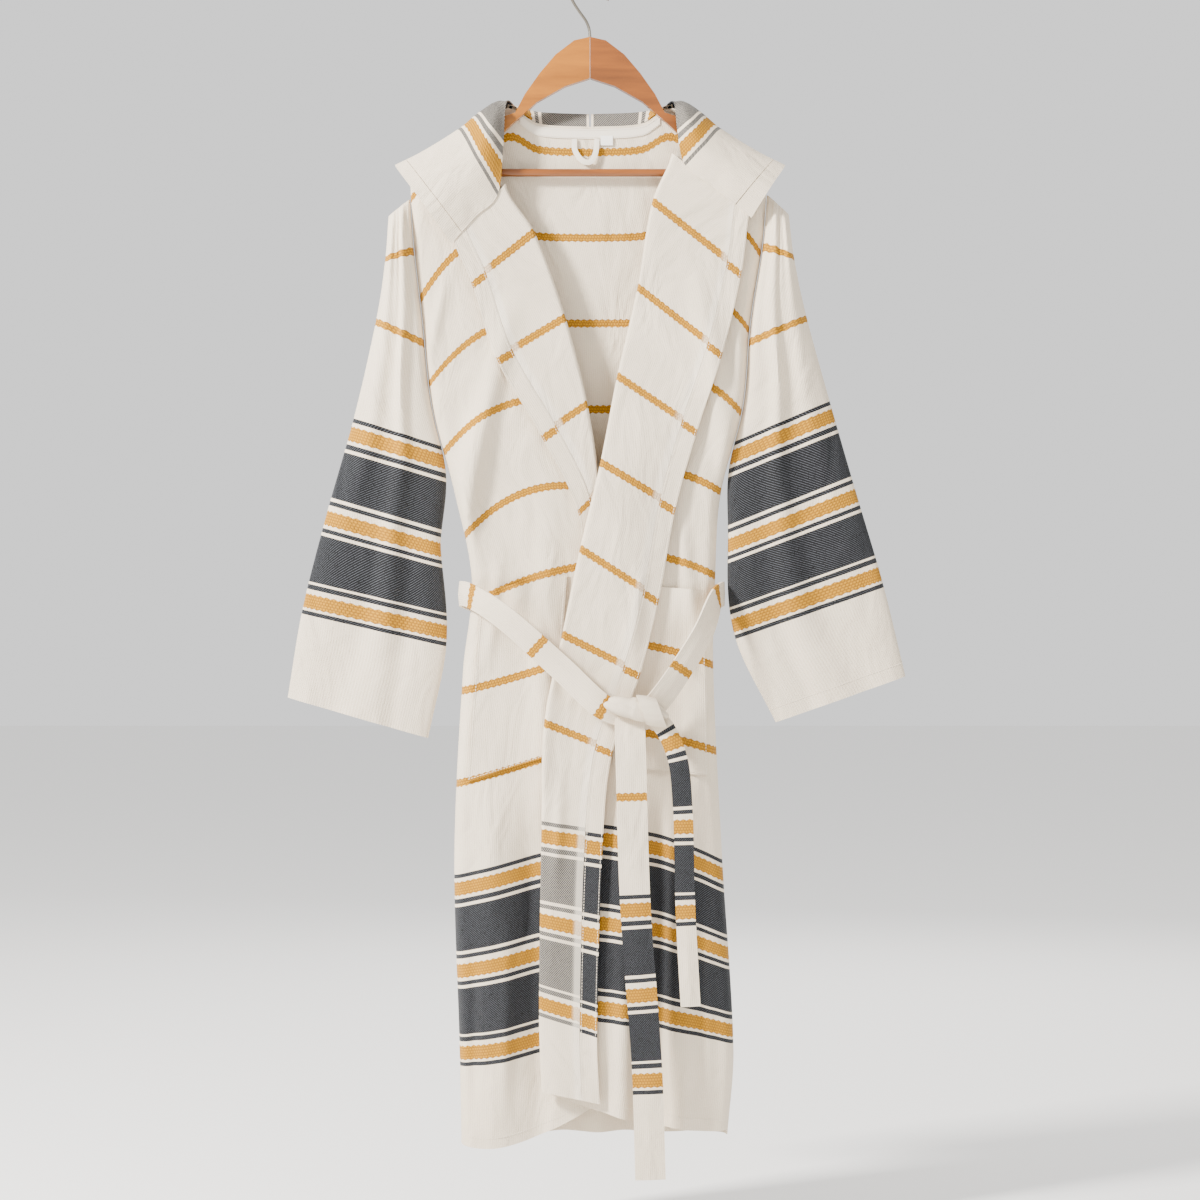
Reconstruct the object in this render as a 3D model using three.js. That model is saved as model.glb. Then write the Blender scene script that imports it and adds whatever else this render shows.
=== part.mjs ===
// Hooded bathrobe on its wooden hanger, in millimetres, +Z up.
// The origin is the inside top of the hook's bend, the front faces -Y and the hanger lies in the plane Y = 0.
// Each cloth piece is a thin wall round a middle surface, which is worked out from short tables of the cut.
import * as THREE from "three";

const CLOTH = 1.2;
const SEAM_HALF = 0.45;
const SHOULDER_T = 1165;
const NECK_T = 1090;
const BAND_WIDTH = 20;
const SEAM_GAP = 0.4;
const TURN_BACK = 6;
const TURN_REACH = 3;
const EDGE_LIFT = 3;
const POCKET_LIFT = 3;
const HOOD_SEAM_GAP = 4.4;
const HOOD_FACE_U = 290;
const HOOD_HALF_SEAM = 0.8;
const SIDE_ROLL = 13;
const TOP_ROLL = 9;
const NECK_HALF = 84;
const FULLNESS_TOP = -250;
const SHOULDER_END_X = 205;
// The right front lies this far over the left one inward of the place named, below the height named.
const OVERLAP = { lift: 14, from: 30, reach: 75, top: -490, fade: 90 };

const CREAM = 0xf3eee6;
const GOLD = 0xd29a35;
const WOOD = 0xd08a48;
const STEEL = 0x8a8378;

// Left front as seen, a row for each level of the cloth; t is the length of cloth above the hem.
const LEFT_FRONT = [
  { t: 0, sideZ: -1331, midX: -76, midZ: -1327, foldX: 14, foldZ: -1281, freeX: -10, freeZ: -1286 },
  { t: 98, sideZ: -1242, midX: -72, midZ: -1230, foldX: 18, foldZ: -1203, freeX: -6, freeZ: -1208 },
  { t: 318, sideZ: -1029, midX: -68, midZ: -1007, foldX: 22, foldZ: -981, freeX: -2, freeZ: -987 },
  { t: 432, sideZ: -921, midX: -68, midZ: -897, foldX: 21, foldZ: -867, freeX: -3, freeZ: -873 },
  { t: 532, sideZ: -816, midX: -65, midZ: -794, foldX: 18, foldZ: -764, freeX: -6, freeZ: -771 },
  { t: 633, sideZ: -718, midX: -62, midZ: -686, foldX: 15, foldZ: -671, freeX: -9, freeZ: -682 },
  { t: 733, sideZ: -640, midX: -72, midZ: -590, foldX: 9, foldZ: -588, freeX: -14, freeZ: -611 },
  { t: 834, sideZ: -545, midX: -92, midZ: -490, foldX: -6, foldZ: -492, freeX: -56, freeZ: -526 },
  { t: 934, sideZ: -468, midX: -112, midZ: -404, foldX: -31, foldZ: -394, freeX: -106, freeZ: -439 },
  { t: 1035, sideZ: -371, midX: -133, midZ: -304, foldX: -66, foldZ: -297, freeX: -135, freeZ: -352 },
  { t: 1090, sideZ: -301, midX: -151, midZ: -248, foldX: -98, foldZ: -243, freeX: -154, freeZ: -306 },
  { t: 1165, sideZ: -228, midX: -150, midZ: -190, foldX: -92, foldZ: -153, freeX: -160, freeZ: -250 },
];

// Right front as seen; it laps over the left one and its edge is turned back down to the hem.
const RIGHT_FRONT = [
  { t: 0, sideZ: -1315, midX: 70, midZ: -1306, foldX: -51, foldZ: -1269, freeX: 11, freeZ: -1281 },
  { t: 98, sideZ: -1217, midX: 68, midZ: -1196, foldX: -54, foldZ: -1183, freeX: 8, freeZ: -1201 },
  { t: 318, sideZ: -1012, midX: 62, midZ: -978, foldX: -51, foldZ: -966, freeX: 15, freeZ: -976 },
  { t: 432, sideZ: -884, midX: 60, midZ: -862, foldX: -48, foldZ: -852, freeX: 26, freeZ: -882 },
  { t: 532, sideZ: -787, midX: 66, midZ: -764, foldX: -28, foldZ: -753, freeX: 57, freeZ: -795 },
  { t: 633, sideZ: -685, midX: 76, midZ: -662, foldX: -8, foldZ: -656, freeX: 78, freeZ: -711 },
  { t: 733, sideZ: -590, midX: 88, midZ: -565, foldX: 15, foldZ: -559, freeX: 97, freeZ: -608 },
  { t: 834, sideZ: -500, midX: 108, midZ: -457, foldX: 34, foldZ: -460, freeX: 122, freeZ: -519 },
  { t: 934, sideZ: -407, midX: 125, midZ: -360, foldX: 57, foldZ: -360, freeX: 150, freeZ: -433 },
  { t: 1035, sideZ: -320, midX: 141, midZ: -266, foldX: 74, foldZ: -262, freeX: 172, freeZ: -339 },
  { t: 1090, sideZ: -270, midX: 150, midZ: -222, foldX: 96, foldZ: -208, freeX: 180, freeZ: -276 },
  { t: 1165, sideZ: -226, midX: 150, midZ: -190, foldX: 92, foldZ: -153, freeX: 190, freeZ: -226 },
];

// Back panel: its half width on each side for each height.
const BACK = [
  { t: 0, z: -1322, leftX: -146, rightX: 156 },
  { t: 98, z: -1225, leftX: -148, rightX: 163 },
  { t: 318, z: -1005, leftX: -154, rightX: 150 },
  { t: 532, z: -792, leftX: -144, rightX: 140 },
  { t: 633, z: -692, leftX: -134, rightX: 142 },
  { t: 733, z: -594, leftX: -153, rightX: 148 },
  { t: 834, z: -494, leftX: -179, rightX: 173 },
  { t: 934, z: -396, leftX: -190, rightX: 182 },
  { t: 1035, z: -297, leftX: -201, rightX: 197 },
  { t: 1165, z: -168, leftX: -207, rightX: 204 },
];

// Shoulder and neck line of the back, half of it.
const SHOULDER = [
  { x: 0, z: -172 },
  { x: 60, z: -168 },
  { x: 93, z: -152 },
  { x: 150, z: -190 },
  { x: 207, z: -228 },
];

// Soft upright folds of the body: place, reach down the cloth, width and depth of each.
const FRONT_FOLDS = [
  { x: -118, top: -420, bottom: -760, lean: 0.1, width: 14, depth: 7 },
  { x: -84, top: -350, bottom: -700, lean: 0.22, width: 12, depth: 9 },
  { x: -46, top: -560, bottom: -1000, lean: 0.02, width: 15, depth: 6 },
  { x: -112, top: -860, bottom: -1400, lean: -0.01, width: 22, depth: 9 },
  { x: -70, top: -900, bottom: -1400, lean: -0.03, width: 14, depth: -6 },
  { x: 44, top: -900, bottom: -1400, lean: 0.02, width: 13, depth: 11 },
  { x: 84, top: -880, bottom: -1400, lean: 0.03, width: 12, depth: -8 },
  { x: 120, top: -780, bottom: -1400, lean: 0.03, width: 16, depth: 9 },
  { x: 118, top: -300, bottom: -720, lean: -0.16, width: 15, depth: 8 },
  { x: 160, top: -330, bottom: -640, lean: -0.1, width: 11, depth: 6 },
];
const FOLD_FADE = { top: 140, bottom: 90 };
const BACK_FOLDS = [
  { x: -122, top: -520, bottom: -1400, lean: 0.02, width: 18, depth: 11 },
  { x: -76, top: -640, bottom: -1400, lean: -0.02, width: 14, depth: -8 },
  { x: -30, top: -460, bottom: -1400, lean: 0.0, width: 20, depth: 12 },
  { x: 22, top: -700, bottom: -1400, lean: 0.02, width: 14, depth: -7 },
  { x: 64, top: -540, bottom: -1400, lean: 0.03, width: 18, depth: 12 },
  { x: 118, top: -600, bottom: -1400, lean: 0.0, width: 16, depth: 8 },
];

// Sleeves: outer and inner edge of the flattened tube and half its depth, from the cuff up.
const LEFT_SLEEVE = [
  { t: 0, outerX: -344, outerZ: -824, innerX: -185, innerZ: -870, depth: 10 },
  { t: 103, outerX: -327, outerZ: -723, innerX: -164, innerZ: -760, depth: 13 },
  { t: 215, outerX: -299, outerZ: -613, innerX: -171, innerZ: -650, depth: 15 },
  { t: 328, outerX: -267, outerZ: -500, innerX: -180, innerZ: -531, depth: 19 },
  { t: 440, outerX: -242, outerZ: -389, innerX: -190, innerZ: -412, depth: 22 },
  { t: 540, outerX: -232, outerZ: -320, innerX: -203, innerZ: -308, depth: 21 },
  { t: 590, outerX: -229, outerZ: -276, innerX: -208, innerZ: -257, depth: 17 },
];
const RIGHT_SLEEVE = [
  { t: 0, outerX: 359, outerZ: -800, innerX: 212, innerZ: -852, depth: 10 },
  { t: 103, outerX: 333, outerZ: -693, innerX: 165, innerZ: -752, depth: 13 },
  { t: 215, outerX: 302, outerZ: -588, innerX: 158, innerZ: -645, depth: 15 },
  { t: 328, outerX: 271, outerZ: -481, innerX: 172, innerZ: -526, depth: 19 },
  { t: 440, outerX: 245, outerZ: -386, innerX: 184, innerZ: -411, depth: 22 },
  { t: 540, outerX: 231, outerZ: -318, innerX: 200, innerZ: -303, depth: 21 },
  { t: 590, outerX: 226, outerZ: -274, innerX: 205, innerZ: -252, depth: 17 },
];
// Patch pockets: inner and outer edge at the mouth and at the bottom, and where the mouth sags open.
const POCKETS = {
  left: { mouthIn: [-26, -684], mouthOut: [-123, -702], endIn: [-40, -888], endOut: [-139, -919], sagX: -82 },
  right: { mouthIn: [26, -694], mouthOut: [130, -702], endIn: [26, -900], endOut: [134, -912], sagX: 112 },
};
const POCKET_SAG = { depth: 8, width: 15, height: 60 };

const BELT = { width: 28, longWidth: 34, shortWidth: 22, thickness: 2.4 };
const BODY_OVAL = { x: 160, y: 50 };
// Belt round the body, from the knot over the left side, behind the back and over the right side.
const BELT_ROUND = [
  [14.3, -60, -832.5], [-34, -54, -788], [-100, -50, -730], [-136, -25, -708], [-148, 6, -706],
  [-134, 31, -712], [-80, 38, -722], [-20, 32.5, -726], [66, 37, -722], [136, 28, -712], [152, 4, -706],
  [143, -27, -712], [126, -50, -752], [84, -60, -818],
];
const BELT_LONG_END = [
  [45, -63, -852.5], [46, -61, -895], [51, -60, -1055], [64, -60, -1237], [68, -58, -1363],
];
const BELT_SHORT_END = [
  [86, -64, -846], [98, -60, -890], [104, -58, -945], [107, -57, -1055], [113, -56, -1169],
];
const KNOT = { x: 52, y: -64, z: -835, halfWidth: 38, halfDepth: 12, halfHeight: 17 };

const HANGER = { thickness: 12, glueGap: 0.4, barRadius: 4.5, barZ: -226, barHalf: 153.6 };
// Upper and lower edge of one hanger arm, from the middle outwards.
const ARM_TOP = [[0, -72], [-18, -76], [-39, -92], [-57, -113], [-74, -137], [-85, -158], [-100, -163],
  [-118, -174], [-150, -194.8], [-186, -219.5]];
const ARM_TIP = [[-192, -230], [-193, -237], [-187, -242]];
const ARM_BOTTOM = [[-150, -219], [-112, -192], [-92, -174], [-60, -146], [-28, -128], [0, -119]];
const HOOK = { wire: 1.7, bend: 22, sides: 10 };

const NECK_TAPE = { from: -80, to: 80, topDrop: 3, width: 11, lift: 1.5, thickness: 0.8 };
const HANGING_LOOP = [
  [-18, 9, -186.3], [-17, 7, -200], [-8, 5, -212], [0, 5, -213], [6, 6, -203], [8, 9, -186.3],
];
const LOOP = { width: 6, thickness: 1.6 };
const LABEL = { x: 19, width: 14, height: 11, thickness: 0.8, drop: 8, gap: 1.0 };

const SLEEVE_SHAPE = { around: 22, along: 15, ripple: 2.2, ripples: 5 };
const ARMHOLE_T = 328;
const ARMHOLE_FADE = 120;
const ARMHOLE_GAP = 0.8;

// Hood thrown back: a hoop of the cloth for each distance u from its centre back seam, left half.
// Each hoop runs from the neck seam over the shoulder and down the back to the middle.
const HOOD = [
  { u: 0, rightX: 1, rightZ: -168, neckX: -1, neckY: 14, neckZ: -168, topX: -1, topY: 24, topZ: -156,
    backX: -1, backY: 38, backZ: -300, midY: 47, midZ: -432 },
  { u: 60, rightX: 58, rightZ: -164, neckX: -58, neckY: 14, neckZ: -164, topX: -60, topY: 25, topZ: -153,
    backX: -66, backY: 42, backZ: -290, midY: 54, midZ: -418 },
  { u: 90, rightX: 83, rightZ: -151, neckX: -83, neckY: 10, neckZ: -151, topX: -88, topY: 20, topZ: -147,
    backX: -90, backY: 45, backZ: -281, midY: 58, midZ: -402 },
  { u: 120, rightX: 95, rightZ: -146, neckX: -95, neckY: -4, neckZ: -146, topX: -106, topY: 16, topZ: -144,
    backX: -112, backY: 47, backZ: -272, midY: 61, midZ: -385 },
  { u: 150, rightX: 99, rightZ: -176, neckX: -98, neckY: -20, neckZ: -188, topX: -126, topY: -4, topZ: -158,
    backX: -128, backY: 49, backZ: -267, midY: 64, midZ: -358 },
  { u: 186, rightX: 107, rightZ: -215, neckX: -104, neckY: -27, neckZ: -248, topX: -148, topY: -4, topZ: -176,
    backX: -146, backY: 50, backZ: -262, midY: 67, midZ: -330 },
  { u: 240, rightX: 140, rightZ: -242, neckX: -129, neckY: -30, neckZ: -275, topX: -190, topY: -3, topZ: -202,
    backX: -169, backY: 50, backZ: -256, midY: 71, midZ: -285 },
  { u: 290, rightX: 183, rightZ: -277, neckX: -157, neckY: -31, neckZ: -306, topX: -222, topY: -3, topZ: -218,
    backX: -190, backY: 48, backZ: -246, midY: 74, midZ: -240 },
];
// The hood's neck seam runs onto the turned-back edges from onLapelFrom on, and lies that much over them.
const HOOD_SEAM = {
  onLapelFrom: 105, onLapelReach: 45, lapelStart: 186, lapelReach: 104, rise: 3.2, forward: 16,
};

// Curve through a table: a smooth line through the named column, read at one value of the key.
function readTable(rows, key, column, at) {
  const last = rows.length - 1;
  let i = 0;
  while (i < last - 1 && at > rows[i + 1][key]) i += 1;
  const slope = (j) => {
    const before = Math.max(j - 1, 0);
    const after = Math.min(j + 1, last);
    return (rows[after][column] - rows[before][column]) / (rows[after][key] - rows[before][key]);
  };
  const span = rows[i + 1][key] - rows[i][key];
  const s = THREE.MathUtils.clamp((at - rows[i][key]) / span, 0, 1);
  const rise = 3 * s * s - 2 * s * s * s;
  const startPull = s * (1 - s) * (1 - s) * span * slope(i);
  const endPull = s * s * (s - 1) * span * slope(i + 1);
  return rows[i][column] * (1 - rise) + rows[i + 1][column] * rise + startPull + endPull;
}

function ease(x) {
  const s = THREE.MathUtils.clamp(x, 0, 1);
  return s * s * (3 - 2 * s);
}

// Quarter-round rise from 0 at an edge to 1 at the given reach.
function roll(distance, reach) {
  const s = THREE.MathUtils.clamp(distance / reach, 0, 1);
  return Math.sqrt(1 - (1 - s) * (1 - s));
}

function steps(from, to, count) {
  return Array.from({ length: count + 1 }, (_, i) => from + ((to - from) * i) / count);
}

// Closed wall round a grid of middle points. Columns may wrap round, as on a sleeve.
function clothWall(grid, wrap = false, thickness = CLOTH) {
  const rows = grid.length;
  const columns = grid[0].length;
  const at = (i, j) => {
    const row = THREE.MathUtils.clamp(i, 0, rows - 1);
    const column = wrap ? (j + columns) % columns : THREE.MathUtils.clamp(j, 0, columns - 1);
    return grid[row][column];
  };
  const positions = [];
  for (const side of [0.5, -0.5]) {
    for (let i = 0; i < rows; i += 1) {
      for (let j = 0; j < columns; j += 1) {
        const along = at(i + 1, j).clone().sub(at(i - 1, j)).normalize();
        const across = at(i, j + 1).clone().sub(at(i, j - 1)).normalize();
        const normal = across.cross(along).normalize();
        const point = at(i, j).clone().addScaledVector(normal, side * thickness);
        positions.push(point.x, point.y, point.z);
      }
    }
  }
  const size = rows * columns;
  const index = [];
  const quad = (a, b, c, d) => index.push(a, b, c, a, c, d);
  const spans = wrap ? columns : columns - 1;
  for (let i = 0; i < rows - 1; i += 1) {
    for (let j = 0; j < spans; j += 1) {
      const next = (j + 1) % columns;
      const a = i * columns + j;
      const b = i * columns + next;
      const c = (i + 1) * columns + next;
      const d = (i + 1) * columns + j;
      quad(a, b, c, d);
      quad(size + a, size + d, size + c, size + b);
    }
  }
  for (let j = 0; j < spans; j += 1) {
    const next = (j + 1) % columns;
    const top = (rows - 1) * columns;
    quad(size + j, size + next, next, j);
    quad(top + j, top + next, size + top + next, size + top + j);
  }
  if (!wrap) {
    for (let i = 0; i < rows - 1; i += 1) {
      const a = i * columns;
      const b = a + columns;
      const end = columns - 1;
      quad(a, b, size + b, size + a);
      quad(size + a + end, size + b + end, b + end, a + end);
    }
  }
  return closedGeometry(positions, index);
}

function closedGeometry(positions, index) {
  const geometry = new THREE.BufferGeometry();
  geometry.setAttribute("position", new THREE.Float32BufferAttribute(positions, 3));
  geometry.setIndex(signedVolume(positions, index) < 0 ? turnedInsideOut(index) : index);
  geometry.computeVertexNormals();
  return geometry;
}

function signedVolume(positions, index) {
  const corner = (i) => new THREE.Vector3().fromArray(positions, 3 * i);
  let volume = 0;
  for (let k = 0; k < index.length; k += 3) {
    volume += corner(index[k]).dot(corner(index[k + 1]).cross(corner(index[k + 2]))) / 6;
  }
  return volume;
}

function turnedInsideOut(index) {
  const turned = [];
  for (let k = 0; k < index.length; k += 3) turned.push(index[k], index[k + 2], index[k + 1]);
  return turned;
}

function shoulderZ(x) {
  return readTable(SHOULDER, "x", "z", Math.abs(x));
}

function foldDepth(folds, x, z) {
  let depth = 0;
  for (const fold of folds) {
    const along = ease((fold.top - z) / FOLD_FADE.top) * ease((z - fold.bottom) / FOLD_FADE.bottom);
    const away = (x - fold.x - fold.lean * (z - fold.top)) / fold.width;
    depth += fold.depth * along * Math.exp(-away * away);
  }
  return depth;
}

// Place of the side seam at one height, on the left (-1) or right (+1).
function sideX(side, z) {
  return readTable(BACK, "z", side < 0 ? "leftX" : "rightX", z);
}

// How far the cloth has rolled away from the side and shoulder seams, 0 at the seam and 1 in the open panel.
function awayFromSeams(x, z) {
  const side = x < 0 ? -1 : 1;
  const fromSide = side * (sideX(side, z) - x);
  const onShoulder = ease((Math.abs(x) - NECK_HALF) / 16);
  const fromTop = THREE.MathUtils.lerp(1, roll(shoulderZ(x) - z, TOP_ROLL), onShoulder);
  return roll(fromSide, SIDE_ROLL) * fromTop;
}

function bodyDepth(x, z, folds) {
  const fullness = 11 + 7 * ease((FULLNESS_TOP - z) / 500);
  const folded = foldDepth(folds, x, z);
  return SEAM_HALF + awayFromSeams(x, z) * (fullness + folded);
}

function overlapLift(x, z) {
  const inward = 1 - ease((x - OVERLAP.from) / OVERLAP.reach);
  return OVERLAP.lift * inward * ease((OVERLAP.top - z) / OVERLAP.fade);
}

const FRONTS = {
  left: { side: -1, rows: LEFT_FRONT, lift: () => 0 },
  right: { side: 1, rows: RIGHT_FRONT, lift: overlapLift },
};

function frontY(front, x, z) {
  return -bodyDepth(x, z, FRONT_FOLDS) - front.lift(x, z);
}

// Point on a front, share 0 at the side seam and 1 at the fold of the turned-back edge.
function frontPoint(front, share, t) {
  const read = (column) => readTable(front.rows, "t", column, t);
  const atSide = 2 * (share - 0.5) * (share - 1);
  const atMiddle = -4 * share * (share - 1);
  const atFold = 2 * share * (share - 0.5);
  const z = read("sideZ") * atSide + read("midZ") * atMiddle + read("foldZ") * atFold;
  const seamX = sideX(front.side, read("sideZ"));
  const x = seamX * atSide + read("midX") * atMiddle + read("foldX") * atFold;
  return new THREE.Vector3(x, frontY(front, x, z), z);
}

function lapelWidth(front, t) {
  const read = (column) => readTable(front.rows, "t", column, t);
  return Math.hypot(read("freeX") - read("foldX"), read("freeZ") - read("foldZ"));
}

// Point on the turned-back edge, so many millimetres out from the fold towards the free edge.
function lapelPoint(front, fromFold, t) {
  const read = (column) => readTable(front.rows, "t", column, t);
  const share = fromFold / lapelWidth(front, t);
  const x = read("foldX") + (read("freeX") - read("foldX")) * share;
  const z = read("foldZ") + (read("freeZ") - read("foldZ")) * share;
  return new THREE.Vector3(x, lapelY(front, x, z, share), z);
}

function lapelY(front, x, z, share) {
  return frontY(front, x, z) - TURN_BACK - EDGE_LIFT * share * share;
}

const PANEL_ROWS = [...steps(0, 0.9, 18), 0.94, 0.97, 0.99, 1];
// Share of a front at which its top edge falls from the shoulder to the fold's end.
const NECK_FALL = { from: 0.84, reach: 0.16 };
const BACK_ROWS = [...steps(0, 0.95, 19), 0.98, 0.992, 0.9965, 0.999, 1];
const FRONT_COLUMNS = [0, 0.015, 0.05, 0.1, 0.19, 0.3, 0.41, 0.52, 0.63, 0.74, 0.84, 0.93, 1];

function frontPanel(front) {
  const lapelSpans = 3;
  const grid = PANEL_ROWS.map((v) => {
    const topT = (share) => THREE.MathUtils.lerp(SHOULDER_T, NECK_T, ease((share - NECK_FALL.from) / NECK_FALL.reach));
    const row = FRONT_COLUMNS.map((share) => frontPoint(front, share, v * topT(share)));
    const t = v * NECK_T;
    const turn = lapelPoint(front, -TURN_REACH, t);
    turn.y = lapelPoint(front, 0, t).y + TURN_BACK / 2;
    row.push(turn);
    const end = lapelWidth(front, t) - BAND_WIDTH - SEAM_GAP;
    return row.concat(steps(0, end, lapelSpans).map((fromFold) => lapelPoint(front, fromFold, t)));
  });
  return clothWall(grid);
}

function frontBand(front) {
  const grid = PANEL_ROWS.map((v) => {
    const t = v * NECK_T;
    const width = lapelWidth(front, t);
    return steps(width - BAND_WIDTH, width, 2).map((fromFold) => lapelPoint(front, fromFold, t));
  });
  return clothWall(grid);
}

// Point on the back, share 0 at its left side seam. Its upper quarter is drawn to the shoulder line.
function backPoint(share, t) {
  const straightT = 0.75 * SHOULDER_T;
  const height = readTable(BACK, "t", "z", Math.min(t, straightT));
  const up = Math.max(0, (t - straightT) / (SHOULDER_T - straightT));
  const seamHeight = THREE.MathUtils.lerp(height, shoulderZ(SHOULDER_END_X), up);
  const left = sideX(-1, seamHeight);
  const right = sideX(1, seamHeight);
  const x = left + (right - left) * share;
  const z = THREE.MathUtils.lerp(height, shoulderZ(x), up);
  return new THREE.Vector3(x, bodyDepth(x, z, BACK_FOLDS), z);
}

function backPanel() {
  const columns = [0, 0.006, 0.018, 0.04, ...steps(0.09, 0.91, 12), 0.96, 0.982, 0.994, 1];
  return clothWall(BACK_ROWS.map((v) => columns.map((share) => backPoint(share, v * SHOULDER_T))));
}

// Flattened tube of a sleeve. Its inner edge follows the armhole of the body, a seam's gap away.
function sleeve(side, rows) {
  const top = rows[rows.length - 1].t;
  const grid = steps(0, 1, SLEEVE_SHAPE.along).map((v) => {
    const t = v * top;
    const read = (column) => readTable(rows, "t", column, t);
    const outer = new THREE.Vector3(read("outerX"), 0, read("outerZ"));
    const inner = new THREE.Vector3(read("innerX"), 0, read("innerZ"));
    const seam = sideX(side, inner.z) + side * (CLOTH + ARMHOLE_GAP);
    inner.x = THREE.MathUtils.lerp(inner.x, seam, ease((t - ARMHOLE_T) / ARMHOLE_FADE + 1));
    const depth = read("depth");
    return steps(0, 1, SLEEVE_SHAPE.around).slice(0, -1).map((turn) => {
      const angle = 2 * Math.PI * turn;
      const across = 0.5 - 0.5 * Math.cos(angle);
      const point = inner.clone().lerp(outer, across);
      const full = Math.sign(Math.sin(angle)) * Math.abs(Math.sin(angle)) ** 0.7;
      const ripple = SLEEVE_SHAPE.ripple * Math.sin(Math.PI * SLEEVE_SHAPE.ripples * across + 2 * v);
      point.y = -full * (depth + ripple * Math.abs(Math.sin(angle)));
      return point;
    });
  });
  return clothWall(grid, true);
}

// Point on one half of the hood: u millimetres from the centre back seam, share 0 at the neck seam
// and 1 at the seam over the crown.
function hoodHoop(side, u) {
  const read = (column) => readTable(HOOD, "u", column, u);
  const left = side < 0;
  const neckX = read(left ? "neckX" : "rightX");
  const neckZ = read(left ? "neckZ" : "rightZ");
  const neck = new THREE.Vector3(neckX, read("neckY"), neckZ);
  const onLapel = ease((u - HOOD_SEAM.onLapelFrom) / HOOD_SEAM.onLapelReach);
  const lapelShare = (u - HOOD_SEAM.lapelStart) / HOOD_SEAM.lapelReach;
  const front = left ? FRONTS.left : FRONTS.right;
  neck.y = THREE.MathUtils.lerp(neck.y, lapelY(front, neck.x, neck.z, lapelShare), onLapel);
  neck.z += HOOD_SEAM.rise * onLapel;
  const over = new THREE.Vector3(-side * read("topX"), read("topY"), read("topZ"));
  const shoulder = neck.clone().lerp(over, 0.5);
  shoulder.y -= HOOD_SEAM.forward * onLapel;
  const behind = new THREE.Vector3(-side * read("backX"), read("backY"), read("backZ"));
  const middle = new THREE.Vector3(side * HOOD_HALF_SEAM, read("midY"), read("midZ"));
  const low = behind.clone().lerp(middle, 0.6);
  low.x = behind.x * 0.5;
  low.y = THREE.MathUtils.lerp(behind.y, middle.y, 0.55);
  return new THREE.CatmullRomCurve3([neck, shoulder, over, behind, low, middle], false, "centripetal");
}

function hoodHalf(side, from, to, spans) {
  const shares = [...steps(0, 0.4, 8), ...steps(0.46, 1, 8)];
  const grid = steps(from, to, spans).map((u) => {
    const hoop = hoodHoop(side, u);
    return shares.map((share) => hoop.getPoint(share));
  });
  return clothWall(grid);
}

function pocket(front, shape) {
  const corner = ([x, z]) => new THREE.Vector2(x, z);
  const grid = steps(0, 1, 10).map((up) => {
    const inner = corner(shape.endIn).lerp(corner(shape.mouthIn), up);
    const outer = corner(shape.endOut).lerp(corner(shape.mouthOut), up);
    return steps(0, 1, 12).map((share) => {
      const point = inner.clone().lerp(outer, share);
      const fromSag = (point.x - shape.sagX) / POCKET_SAG.width;
      const nearMouth = ease(1 + (point.y - shape.mouthOut[1]) / POCKET_SAG.height);
      const sag = POCKET_SAG.depth * Math.exp(-fromSag * fromSag) * nearMouth;
      return new THREE.Vector3(point.x, frontY(front, point.x, point.y) - POCKET_LIFT - sag, point.y);
    });
  });
  return clothWall(grid);
}

// Strap of doubled cloth along a path. It faces away from the robe's upright axis, or the front if told so.
function strap(points, spans, width, thickness, facesFront) {
  const path = new THREE.CatmullRomCurve3(points.map((p) => new THREE.Vector3(...p)), false, "centripetal");
  const grid = steps(0, 1, spans).map((at) => {
    const centre = path.getPoint(at);
    const along = path.getTangent(at);
    const outward = facesFront
      ? new THREE.Vector3(0, -1, 0)
      : new THREE.Vector3(centre.x / BODY_OVAL.x, centre.y / BODY_OVAL.y, 0).normalize();
    const across = along.cross(outward).normalize();
    return steps(-0.5, 0.5, 3).map((share) => centre.clone().addScaledVector(across, share * width));
  });
  return clothWall(grid, false, thickness);
}

function knot() {
  const geometry = new THREE.SphereGeometry(1, 20, 12);
  geometry.scale(KNOT.halfWidth, KNOT.halfDepth, KNOT.halfHeight);
  geometry.translate(KNOT.x, KNOT.y, KNOT.z);
  return geometry;
}

function hangerArm(side) {
  const outline = new THREE.Shape();
  const place = ([x, z]) => new THREE.Vector2(-side * x + side * (x === 0 ? HANGER.glueGap / 2 : 0), z);
  outline.setFromPoints([...ARM_TOP, ...ARM_TIP, ...ARM_BOTTOM].map(place));
  const geometry = new THREE.ExtrudeGeometry(outline, { depth: HANGER.thickness, bevelEnabled: false });
  geometry.rotateX(Math.PI / 2);
  geometry.translate(0, HANGER.thickness / 2, 0);
  return geometry;
}

function hangerBar() {
  const geometry = new THREE.CylinderGeometry(HANGER.barRadius, HANGER.barRadius, 2 * HANGER.barHalf, 16);
  geometry.rotateZ(Math.PI / 2);
  geometry.translate(0, 0, HANGER.barZ);
  return geometry;
}

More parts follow.
